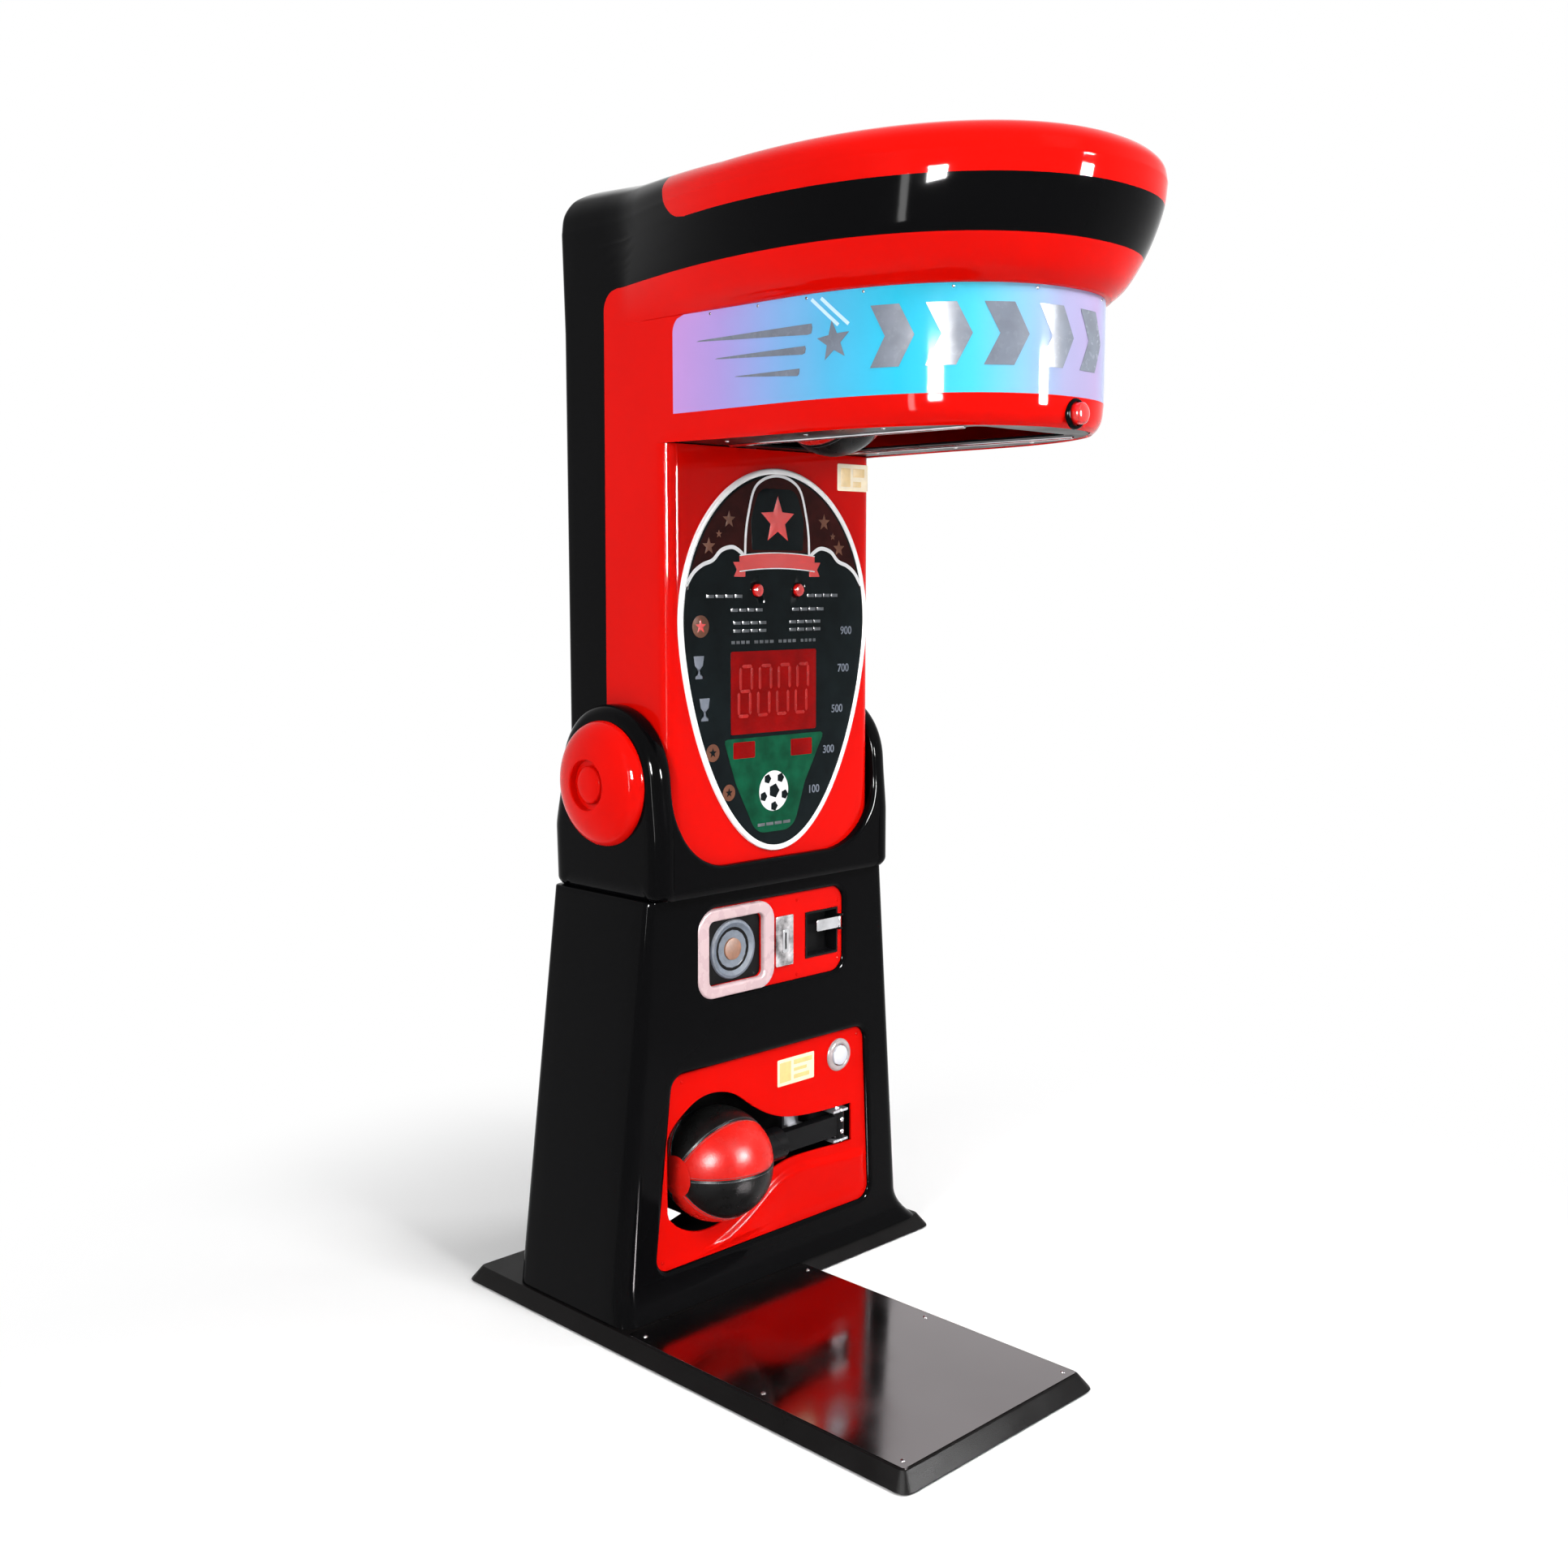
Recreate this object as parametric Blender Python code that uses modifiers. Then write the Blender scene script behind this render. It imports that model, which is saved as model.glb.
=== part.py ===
"""Boxing punch machine with a folding punch ball and a swing-out kick ball.

Metres, +Z up, front towards -Y. The origin is on the floor under the middle of
the whole machine. Everything hangs from the empty column_frame, which stands
on the floor under the middle of the upper column's front face, so the sizes
below are read sideways from the column's centre line and back from its face.
"""
import bpy
import bmesh
from math import atan, cos, pi, sin, sqrt
from mathutils import Matrix, Vector

# ---- clearances and walls ----
GAP = 0.0003            # between pieces that touch
RUN = 0.0006            # round a turning or sliding piece
WALL = 0.005            # moulded shells
SHEET = 0.002           # bent and flat sheet metal
HIDDEN = 0.5            # how far a cutter reaches past what it cuts

# ---- base tray ----
TRAY_WIDTH = 0.908
TRAY_LEFT = 0.432       # column centre to the tray's left edge
TRAY_REAR = 0.478       # column face to the tray's rear edge
TONGUE_REACH = 0.725    # column face to the tongue's front edge
TONGUE_WIDTH = 0.521
WING_FRONT = -0.014     # front edge of the wide rear part
TRAY_LIFT = 0.003       # the tray's skirt stops just above the floor
TRAY_TOP = 0.0315
TRAY_SLOPE = 0.0205     # how far the skirt leans out
TRAY_CORNER = 0.022
TRAY_SHEET = 0.004
FOOT_RADIUS = 0.026
FOOT_PAD = 0.007
FOOT_STEM = 0.008
TREAD_MARGIN = 0.004

# ---- lower body ----
LOWER_TOP = 0.8436
FOOT_SIDE = 0.408       # half width at the floor
SEAM_SIDE = 0.327       # half width at the top
FOOT_FRONT = 0.013
SEAM_FRONT = 0.007
FOOT_REAR = 0.347
SEAM_REAR = 0.302
LOWER_CORNER = 0.034
SKIRT_RISE = 0.075      # height of the flared foot
SKIRT_FLARE = 0.044     # how far it flares to the right
SKIRT_TOE = 0.016       # how far it flares forwards
DECK_SIDE = 0.22        # half width of the passage between the bodies
DECK_FRONT = 0.06
DECK_REAR = 0.270

# ---- coin panel, on the front of the lower body ----
COIN_LEFT = -0.207
COIN_RIGHT = 0.208
COIN_BOTTOM = 0.624
COIN_TOP = 0.810
COIN_FACE = 0.016       # front of the red plate
PLATE_THICK = 0.004
RIM_WIDTH = 0.012
SPEAKER_X = -0.1015
SPEAKER_SIZE = 0.206
SPEAKER_Z = 0.720
SPEAKER_HEIGHT = 0.176
SPEAKER_RIM = 0.029
SPEAKER_RADIUS = 0.052
COIN_Z = 0.717
COIN_ENTRY_X = 0.035
COIN_ENTRY_SIZE = (0.050, 0.104)
COIN_UNIT_X = 0.147
COIN_UNIT_SIZE = (0.095, 0.096)
COIN_UNIT_DEPTH = 0.032
LEVER_LENGTH = 0.068
LEVER_HEIGHT = 0.024
LEVER_RISE = 0.0175     # lever centre above the unit's centre

# ---- kick panel and kick ball ----
KICK_BOTTOM = 0.110
KICK_TOP = 0.495
KICK_LEFT_LOW = -0.311
KICK_LEFT_HIGH = -0.266
KICK_RIGHT_LOW = 0.298
KICK_RIGHT_HIGH = 0.278
KICK_FACE = 0.020
KICK_Z = 0.289          # arm and ball centre line
KICK_Y = 0.030
KICK_AXLE_X = 0.211
KICK_BALL_X = -0.137
KICK_BALL_RADIUS = 0.115
BALL_ROOM = 0.022       # round the ball, in its window
WINDOW_LIFT = 0.012     # the window's middle above the ball's
KICK_SLOT = 0.080       # height of the arm's slot
SLOT_LIFT = 0.004
SLOT_END = 0.019        # from the arm's hub to the slot's end
KICK_HUB = 0.016
KICK_HUB_HEIGHT = 0.058
KICK_AXLE_RADIUS = 0.006
KICK_ARM_SIZE = (0.022, 0.044)
KICK_COLLAR = 0.034
KICK_COLLAR_LENGTH = 0.056
POCKET_DEPTH = 0.150
POCKET_WALL = 0.003
KICK_BUTTON = (0.205, 0.444)
KICK_BUTTON_RADIUS = 0.021
KICK_RING_RADIUS = 0.035

# ---- yoke and hubs ----
YOKE_SIDE = 0.327
YOKE_FRONT = -0.018
YOKE_REAR = 0.311
LOBE_Y = 0.140
LOBE_Z = 1.060
LOBE_RADIUS = 0.148
LOBE_ROOT = 0.970       # the lobe's outline leaves the upright faces here
YOKE_FLOOR = 0.872
YOKE_SKIN = 0.006
YOKE_LIP = 0.896        # bottom of the U-shaped front opening
YOKE_LIP_CORNER = 0.14
YOKE_EDGE = 0.016
YOKE_FRONT_CORNER = 0.030
YOKE_REAR_CORNER = 0.044
HUB_Y = 0.137
HUB_Z = 1.058
HUB_RADIUS = 0.120
HUB_BULGE = 0.048
HUB_CAP_RADIUS = 0.039
HUB_CAP_DROP = 0.006    # its face lies this far below the dome's edge
HUB_WELL = 0.009        # groove round the middle cap

# ---- upper column and head ----
HEAD_SIDE = 0.280
HEAD_REAR = 0.306
COLUMN_STEP = 0.002     # the column is this much slimmer than the head's rear
COLUMN_FRONT_CORNER = 0.018
COLUMN_REAR_CORNER = 0.018
SPLIT_LOW = 0.188       # where the red shell meets the black spine, low down
SPLIT_HIGH = 0.176      # and at the head
SPLIT_CORNER = 0.040
HEAD_MIDDLE = -0.300    # where the head's front rounding starts
HEAD_POWER = 2.2        # of the superellipse that rounds the head's front
FLARE_START = 0.120
MARQUEE_REACH = 0.7025
MARQUEE_BOTTOM = 1.7416
MARQUEE_HEIGHT = 0.172
MARQUEE_REAR = -0.018
LENS_THICK = 0.003
BAND_RISE = 0.067       # black band starts this far above the lens
CAP_RISE = 0.150        # red cap starts this far above the lens
CAP_REAR = -0.042
CAP_CORNER = 0.080
# (rise, narrower by) below the lens, and (rise, wider by, further forward by)
# above it, then (inset, height) over the cap's edge
LIP_PROFILE = ((-0.050, 0.018), (-0.042, 0.010), (-0.027, 0.003), (0.0, 0.0))
VISOR_PROFILE = ((0.0, 0.0, 0.0), (0.001, 0.008, 0.009), (0.026, 0.039, 0.033),
                 (0.067, 0.066, 0.057), (0.106, 0.076, 0.078),
                 (0.150, 0.082, 0.095), (0.186, 0.083, 0.1005))
CROWN_PROFILE = ((0.005, 0.022), (0.020, 0.038), (0.040, 0.048),
                 (0.080, 0.058), (0.140, 0.067), (0.240, 0.080))
CROWN_HEIGHT = 0.093
CROWN_TILT = 0.080      # the roof climbs towards the rear from CROWN_BREAK
CROWN_BREAK = -0.200
REAR_SWELL = 0.003      # the roof is this much wider and longer at the rear
TRAY_PANEL_RISE = 0.002 # black panel above the lip's edge
BAY_SIDE = 0.125        # half width of the ball's slot in that panel
BAY_FRONT = -0.600
BAY_REAR = -0.035

# ---- display ----
DISPLAY_MARGIN = 0.020  # column's side to the ring's widest point
DISPLAY_WIDEST = 1.360
DISPLAY_TOP = 1.657
DISPLAY_BOTTOM = 0.909
RING_WIDTH = 0.011
RING_THICK = 0.0065
GLASS_THICK = 0.0043
WINDOW_INSET = 0.036
BOARD_INSET = 0.021
LED_SIZE = (0.234, 0.168)
LED_Z = 1.227
MODE_SPREAD = 0.056
MODE_Z = 1.423
MODE_RADIUS = 0.012
LIP_BUTTON_RADIUS = 0.018
BUTTON_TRAVEL = 0.004

# ---- frame and punch mechanism ----
POST_INSET = 0.130      # head's side to a post's middle
POST_Y = 0.240
POST_SIZE = 0.030
BEAM_RISE = 0.1734      # above the lens's lower edge, as the next two
BEAM_FRONT = -0.600
AXLE_Y = -0.530
AXLE_RISE = 0.0384
AXLE_RADIUS = 0.010
PUNCH_REACH = 0.375     # axle to ball centre
PUNCH_BALL_RADIUS = 0.108
PUNCH_TUBE = 0.016
PUNCH_HUB = (0.022, 0.060)
MAGNET_Y = -0.300
BUMPER_Y = -0.400
DROP_RISE = 0.1034      # bar that carries the bumper
CASH_ROOM = 0.030       # from the posts to the cash box
ENCODER_RADIUS = 0.032

# ---- rear door ----
DOOR_SIDE = 0.190
DOOR_BOTTOM = 0.130
DOOR_TOP = 0.600
DOOR_LAP = 0.014
DOOR_HINGE = 0.004
LOCK_RADIUS = 0.010
LOCK_X = -0.165

COLUMN_SIDE = HEAD_SIDE - COLUMN_STEP
COLUMN_REAR = HEAD_REAR - COLUMN_STEP
MARQUEE_TOP = MARQUEE_BOTTOM + MARQUEE_HEIGHT
LIP_BOTTOM = MARQUEE_BOTTOM + LIP_PROFILE[0][0]
HEAD_REACH = MARQUEE_REACH + VISOR_PROFILE[-1][2]
COLUMN_X = TRAY_LEFT - TRAY_WIDTH / 2
COLUMN_Y = (HEAD_REACH - TRAY_REAR) / 2
COLUMN_BOTTOM = YOKE_FLOOR + GAP
DISPLAY_SIDE = COLUMN_SIDE - DISPLAY_MARGIN
POST_X = HEAD_SIDE - POST_INSET
BEAM_Z = MARQUEE_BOTTOM + BEAM_RISE
AXLE_Z = MARQUEE_BOTTOM + AXLE_RISE
DROP_Z = MARQUEE_BOTTOM + DROP_RISE
CASH_SIDE = POST_X - POST_SIZE / 2 - CASH_ROOM

for old in list(bpy.data.objects):
    bpy.data.objects.remove(old, do_unlink=True)

PARTS = bpy.data.collections.new("boxing_punch_machine")
CUTTERS = bpy.data.collections.new("cutters")
bpy.context.scene.collection.children.link(PARTS)
bpy.context.scene.collection.children.link(CUTTERS)
FRAME = bpy.data.objects.new("column_frame", None)
FRAME.location = (COLUMN_X, COLUMN_Y, 0)
PARTS.objects.link(FRAME)

FINISHES = {
    "red": ((0.80, 0.02, 0.01), 0.18, 0.0),
    "black": ((0.015, 0.015, 0.017), 0.30, 0.0),
    "steel": ((0.45, 0.45, 0.47), 0.40, 1.0),
    "dark_sheet": ((0.06, 0.055, 0.06), 0.08, 1.0),
    "chrome": ((0.85, 0.85, 0.86), 0.08, 1.0),
    "rubber": ((0.03, 0.03, 0.03), 0.80, 0.0),
    "leather": ((0.45, 0.02, 0.02), 0.45, 0.0),
    "white": ((0.85, 0.78, 0.80), 0.35, 0.0),
    "glass": ((0.02, 0.02, 0.03), 0.05, 0.0),
    "lens": ((0.35, 0.60, 0.90), 0.15, 0.0),
    "board": ((0.05, 0.25, 0.10), 0.60, 0.0),
    "cutter": ((1.0, 0.5, 0.0), 0.50, 0.0),
}


# ---- tools ----
def add(name, mesh, finish, parent=None):
    """Put a mesh into the model, with a material of its own."""
    obj = bpy.data.objects.new(name, mesh)
    cutter = finish == "cutter"
    (CUTTERS if cutter else PARTS).objects.link(obj)
    obj.parent = parent or FRAME
    colour, roughness, metallic = FINISHES[finish]
    material = bpy.data.materials.new(name)
    material.use_nodes = True
    shader = material.node_tree.nodes["Principled BSDF"]
    shader.inputs["Base Color"].default_value = (*colour, 1)
    shader.inputs["Roughness"].default_value = roughness
    shader.inputs["Metallic"].default_value = metallic
    mesh.materials.append(material)
    if cutter:
        obj.hide_render = True
        obj.display_type = "WIRE"
    return obj


def to_mesh(name, bm):
    bmesh.ops.recalc_face_normals(bm, faces=bm.faces)
    mesh = bpy.data.meshes.new(name)
    bm.to_mesh(mesh)
    bm.free()
    return mesh


def box(name, low, high, finish):
    """A box between two corners, with its origin in its middle."""
    low, high = Vector(low), Vector(high)
    bm = bmesh.new()
    bmesh.ops.create_cube(bm, size=1)
    bmesh.ops.scale(bm, vec=high - low, verts=bm.verts)
    obj = add(name, to_mesh(name, bm), finish)
    obj.location = (low + high) / 2
    return obj


AXES = {"X": (0, pi / 2, 0), "Y": (pi / 2, 0, 0), "Z": (0, 0, 0)}


def rod(name, centre, axis, radius, length, finish, sides=16, tip=None):
    """A cylinder, or a cone with another radius at its far end."""
    bm = bmesh.new()
    end = radius if tip is None else tip
    bmesh.ops.create_cone(bm, cap_ends=True, segments=sides, radius1=radius, radius2=end, depth=length)
    mesh = to_mesh(name, bm)
    mesh.shade_smooth()
    mesh.set_sharp_from_angle(angle=pi / 5)
    obj = add(name, mesh, finish)
    obj.location = centre
    obj.rotation_euler = AXES[axis]
    return obj


def ball(name, centre, radius, finish):
    bm = bmesh.new()
    bmesh.ops.create_uvsphere(bm, u_segments=20, v_segments=12, radius=radius)
    mesh = to_mesh(name, bm)
    mesh.shade_smooth()
    obj = add(name, mesh, finish)
    obj.location = centre
    return obj


def rounded(corners, radii, steps=3):
    """A closed outline with each corner replaced by an arc."""
    if not isinstance(radii, (list, tuple)):
        radii = [radii] * len(corners)
    points = []
    for i, radius in enumerate(radii):
        corner = Vector(corners[i])
        before = (Vector(corners[i - 1]) - corner).normalized()
        after = (Vector(corners[(i + 1) % len(corners)]) - corner).normalized()
        half = before.angle(after) / 2
        middle = corner + (before + after).normalized() * radius / sin(half)
        start = corner + before * radius * cos(half) / sin(half) - middle
        turn = start.angle_signed(corner + after * radius * cos(half) / sin(half) - middle)
        for k in range(steps + 1):
            a = -turn * k / steps
            points.append((middle.x + start.x * cos(a) - start.y * sin(a),
                           middle.y + start.x * sin(a) + start.y * cos(a)))
    return points


PLANES = {
    "XY": Matrix(((1, 0, 0), (0, 1, 0), (0, 0, 1))),
    "XZ": Matrix(((1, 0, 0), (0, 0, -1), (0, 1, 0))),
    "YZ": Matrix(((0, 0, 1), (1, 0, 0), (0, 1, 0))),
}


def plate(name, outline, plane, low, high, finish, holes=()):
    """A flat outline, filled and given a thickness from low to high."""
    curve = bpy.data.curves.new(name, "CURVE")
    curve.dimensions = "2D"
    curve.fill_mode = "BOTH"
    curve.extrude = (high - low) / 2
    for loop in (outline, *holes):
        spline = curve.splines.new("POLY")
        spline.points.add(len(loop) - 1)
        for point, (u, v) in zip(spline.points, loop):
            point.co = (u, v, 0, 1)
        spline.use_cyclic_u = True
    guide = bpy.data.objects.new(name + "_outline", curve)
    bpy.context.scene.collection.objects.link(guide)
    depsgraph = bpy.context.evaluated_depsgraph_get()
    flat = bpy.data.meshes.new_from_object(guide.evaluated_get(depsgraph))
    bpy.data.objects.remove(guide)
    bm = bmesh.new()
    bm.from_mesh(flat)
    bmesh.ops.remove_doubles(bm, verts=bm.verts, dist=1e-6)
    obj = add(name, to_mesh(name, bm), finish)
    turn = PLANES[plane]
    obj.rotation_euler = turn.to_euler()
    obj.location = turn @ Vector((0, 0, 1)) * (low + high) / 2
    if plane == "XZ":
        obj.location = (0, (low + high) / 2, 0)
    return obj


def loft(name, rings, finish):
    """A solid through rings of as many points each, closed at both ends."""
    bm = bmesh.new()
    rows = [[bm.verts.new(point) for point in ring] for ring in rings]
    count = len(rows[0])
    for lower, upper in zip(rows, rows[1:]):
        for i in range(count):
            j = (i + 1) % count
            bm.faces.new((lower[i], lower[j], upper[j], upper[i]))
    bm.faces.new(rows[0][::-1])
    top = bm.faces.new(rows[-1])
    bmesh.ops.poke(bm, faces=[top])
    bmesh.ops.triangulate(bm, faces=bm.faces)
    mesh = to_mesh(name, bm)
    mesh.shade_smooth()
    mesh.set_sharp_from_angle(angle=pi / 6)
    return add(name, mesh, finish)


def turned(name, profile, centre, axis, finish, steps=24):
    """A profile of (radius, height) points, from the axis to the axis, turned."""
    bm = bmesh.new()
    verts = [bm.verts.new((radius, 0, height)) for radius, height in profile]
    for a, b in zip(verts, verts[1:]):
        bm.edges.new((a, b))
    mesh = bpy.data.meshes.new(name)
    bm.to_mesh(mesh)
    bm.free()
    obj = add(name, mesh, finish)
    screw = obj.modifiers.new("turn", "SCREW")
    screw.steps = steps
    screw.render_steps = steps
    screw.use_merge_vertices = True
    screw.merge_threshold = 1e-5
    obj.location = centre
    obj.rotation_euler = {"X": (0, pi / 2, 0), "-X": (0, -pi / 2, 0), "Z": (0, 0, 0)}[axis]
    return obj


def combine(target, other, operation="DIFFERENCE"):
    modifier = target.modifiers.new(operation.lower(), "BOOLEAN")
    modifier.operation = operation
    modifier.solver = "EXACT"
    modifier.object = other
    return target


def weld(target, *pieces):
    """Join solids that overlap into one body."""
    for piece in pieces:
        combine(target, piece, "UNION")
    return target


def pivot(name, point, *moving):
    """Hang pieces from an empty on their joint's axis."""
    empty = bpy.data.objects.new(name, None)
    PARTS.objects.link(empty)
    empty.parent = FRAME
    empty.location = point
    for obj in moving:
        obj.parent = empty
        obj.location = obj.location - empty.location
    return empty


def rectangle(left, right, bottom, top):
    return [(left, bottom), (right, bottom), (right, top), (left, top)]


def circle(x, y, radius, sides=20):
    return [(x + radius * cos(2 * pi * k / sides), y + radius * sin(2 * pi * k / sides)) for k in range(sides)]


# ---- base ----
def tray_outline(inset):
    """The L-shaped tray, its tongue flush with its left edge."""
    left = -TRAY_LEFT + inset
    right = TRAY_WIDTH - TRAY_LEFT - inset
    tongue = -TRAY_LEFT + TONGUE_WIDTH - inset
    wing = WING_FRONT + inset
    corners = [(left, -TONGUE_REACH + inset), (tongue, -TONGUE_REACH + inset), (tongue, wing),
               (right, wing), (right, TRAY_REAR - inset), (left, TRAY_REAR - inset)]
    outer = TRAY_CORNER - inset * 0.5
    return rounded(corners, [outer, outer, TRAY_CORNER * 0.3, outer, outer, outer])


def make_base():
    """Folded steel tray, its tread and its levelling feet."""
    rings = []
    for height, inset in ((TRAY_LIFT, 0.0), (TRAY_TOP, TRAY_SLOPE)):
        rings.append([(x, y, height) for x, y in tray_outline(inset)])
    bm = bmesh.new()
    rows = [[bm.verts.new(point) for point in ring] for ring in rings]
    count = len(rows[0])
    for i in range(count):
        j = (i + 1) % count
        bm.faces.new((rows[0][i], rows[0][j], rows[1][j], rows[1][i]))
    bm.faces.new(rows[0][::-1])
    bm.faces.new(rows[1])
    tray = add("base_tray", to_mesh("base_tray", bm), "black")
    hollow = plate("tray_hollow", tray_outline(TRAY_SLOPE + TRAY_SHEET), "XY",
                   -HIDDEN, TRAY_TOP - TRAY_SHEET, "cutter")
    combine(tray, hollow)

    edge = TRAY_SLOPE + TREAD_MARGIN
    tread = rectangle(-TRAY_LEFT + edge, -TRAY_LEFT + TONGUE_WIDTH - edge,
                      -TONGUE_REACH + edge, WING_FRONT - GAP)
    plate("tread_plate", rounded(tread, TREAD_MARGIN * 2), "XY", TRAY_TOP + GAP, TRAY_TOP + GAP + SHEET,
          "dark_sheet")

    reach = TRAY_SLOPE + TRAY_SHEET + FOOT_RADIUS + 0.008
    left = -TRAY_LEFT + reach
    right = TRAY_WIDTH - TRAY_LEFT - reach
    tongue = -TRAY_LEFT + TONGUE_WIDTH - reach
    spots = [(left, -TONGUE_REACH + reach), (tongue, -TONGUE_REACH + reach), (left, 0.0),
             (right, 0.06), (left, TRAY_REAR - reach), (right, TRAY_REAR - reach)]
    stem_top = TRAY_TOP - TRAY_SHEET - GAP
    for number, (x, y) in enumerate(spots, 1):
        foot = [(0, stem_top), (FOOT_STEM, stem_top), (FOOT_STEM, FOOT_PAD), (FOOT_RADIUS, FOOT_PAD - 0.001),
                (FOOT_RADIUS, 0), (0, 0)]
        turned("levelling_foot_%d" % number, foot, (x, y, 0), "Z", "rubber", 16)


# ---- lower body ----
def lower_front(z):
    return FOOT_FRONT + (SEAM_FRONT - FOOT_FRONT) * z / LOWER_TOP


def lower_rear(z):
    return FOOT_REAR + (SEAM_REAR - FOOT_REAR) * z / LOWER_TOP


def lower_ring(z, inset):
    """Rounded rectangle of the lower body at one height."""
    side = FOOT_SIDE + (SEAM_SIDE - FOOT_SIDE) * z / LOWER_TOP - inset
    flare = max(0.0, 1 - (z - TRAY_TOP) / SKIRT_RISE) ** 2
    front = lower_front(z) + inset - SKIRT_TOE * flare
    rear = lower_rear(z) - inset
    right = side + SKIRT_FLARE * flare
    corners = [(-side, front), (right, front), (right, rear), (-side, rear)]
    return [(x, y, z) for x, y in rounded(corners, LOWER_CORNER - inset, 4)]


def make_lower_body():
    """Moulded lower shell with its rimmed openings."""
    start = TRAY_TOP + GAP
    levels = [start + SKIRT_RISE * k for k in (0.0, 0.2, 0.5, 1.0)]
    body = loft("lower_body_shell", [lower_ring(z, 0) for z in (*levels, LOWER_TOP)], "black")
    inside = (start - 0.01, *levels[1:], LOWER_TOP - WALL)
    hollow = loft("lower_hollow", [lower_ring(z, WALL) for z in inside], "cutter")
    combine(body, hollow)
    deck = box("deck_passage", (-DECK_SIDE, DECK_FRONT, LOWER_TOP - 0.03),
               (DECK_SIDE, DECK_REAR, LOWER_TOP + 0.03), "cutter")
    combine(body, deck)
    for name, outline, face in (("kick", kick_outline, KICK_FACE), ("coin", coin_outline, COIN_FACE)):
        rim = plate(name + "_rim", outline(0), "XZ", WALL + 0.008, face - GAP, "cutter")
        opening = plate(name + "_opening", outline(-RIM_WIDTH), "XZ", -HIDDEN, face + 0.02, "cutter")
        combine(body, rim, "UNION")
        combine(body, opening)
    return body


def coin_outline(grow):
    corners = rectangle(COIN_LEFT - RIM_WIDTH - grow, COIN_RIGHT + RIM_WIDTH + grow,
                        COIN_BOTTOM - RIM_WIDTH - grow, COIN_TOP + RIM_WIDTH + grow)
    return rounded(corners, 0.045 + grow)


def kick_outline(grow):
    edge = RIM_WIDTH + grow
    corners = [(KICK_LEFT_LOW - edge, KICK_BOTTOM - edge), (KICK_RIGHT_LOW + edge, KICK_BOTTOM - edge),
               (KICK_RIGHT_HIGH + edge, KICK_TOP + edge), (KICK_LEFT_HIGH - edge, KICK_TOP + edge)]
    return rounded(corners, 0.040 + grow)


def on_rear(obj, z, out):
    """Lay a piece on the sloping rear wall, at a height and a distance out."""
    slope = atan((FOOT_REAR - SEAM_REAR) / LOWER_TOP)
    obj.rotation_euler = (slope, 0, 0)
    obj.location = (obj.location.x, lower_rear(z) + out * cos(slope), z + out * sin(slope))


def make_rear():
    """Service door, its hinge rod and lock, and the mains inlet."""
    middle = (DOOR_BOTTOM + DOOR_TOP) / 2
    height = DOOR_TOP - DOOR_BOTTOM
    opening = box("door_opening", (-DOOR_SIDE, -0.05, -height / 2), (DOOR_SIDE, 0.05, height / 2), "cutter")
    on_rear(opening, middle, 0)
    combine(bpy.data.objects["lower_body_shell"], opening)
    lap = DOOR_LAP
    door = box("rear_door", (-DOOR_SIDE - lap, -SHEET / 2, -height / 2 - lap),
               (DOOR_SIDE + lap, SHEET / 2, height / 2 + lap), "black")
    on_rear(door, middle, GAP + SHEET / 2)
    hinge_x = DOOR_SIDE + lap + GAP + DOOR_HINGE
    hinge = rod("door_hinge", (hinge_x, 0, 0), "Z", DOOR_HINGE, height, "steel", 12)
    on_rear(hinge, middle, GAP + DOOR_HINGE)
    lock_hole = rod("lock_hole", (LOCK_X, 0, 0), "Z", LOCK_RADIUS + RUN, 0.1, "cutter")
    on_rear(lock_hole, middle, 0)
    lock_hole.rotation_euler.x += pi / 2
    combine(door, lock_hole)
    lock = rod("door_lock", (LOCK_X, 0, 0), "Z", LOCK_RADIUS, 0.030, "chrome")
    on_rear(lock, middle, -0.010)
    lock.rotation_euler.x += pi / 2
    cam = box("lock_cam", (LOCK_X - 0.008, -0.0015, -0.008), (LOCK_X + 0.008, 0.0015, 0.034), "cutter")
    on_rear(cam, middle, -WALL - 0.003)
    cam.location.z += 0.013
    weld(lock, cam)
    inlet = box("power_inlet", (0.235, -0.004, -0.016), (0.285, 0.004, 0.016), "black")
    on_rear(inlet, 0.075, 0.004 + GAP)


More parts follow.
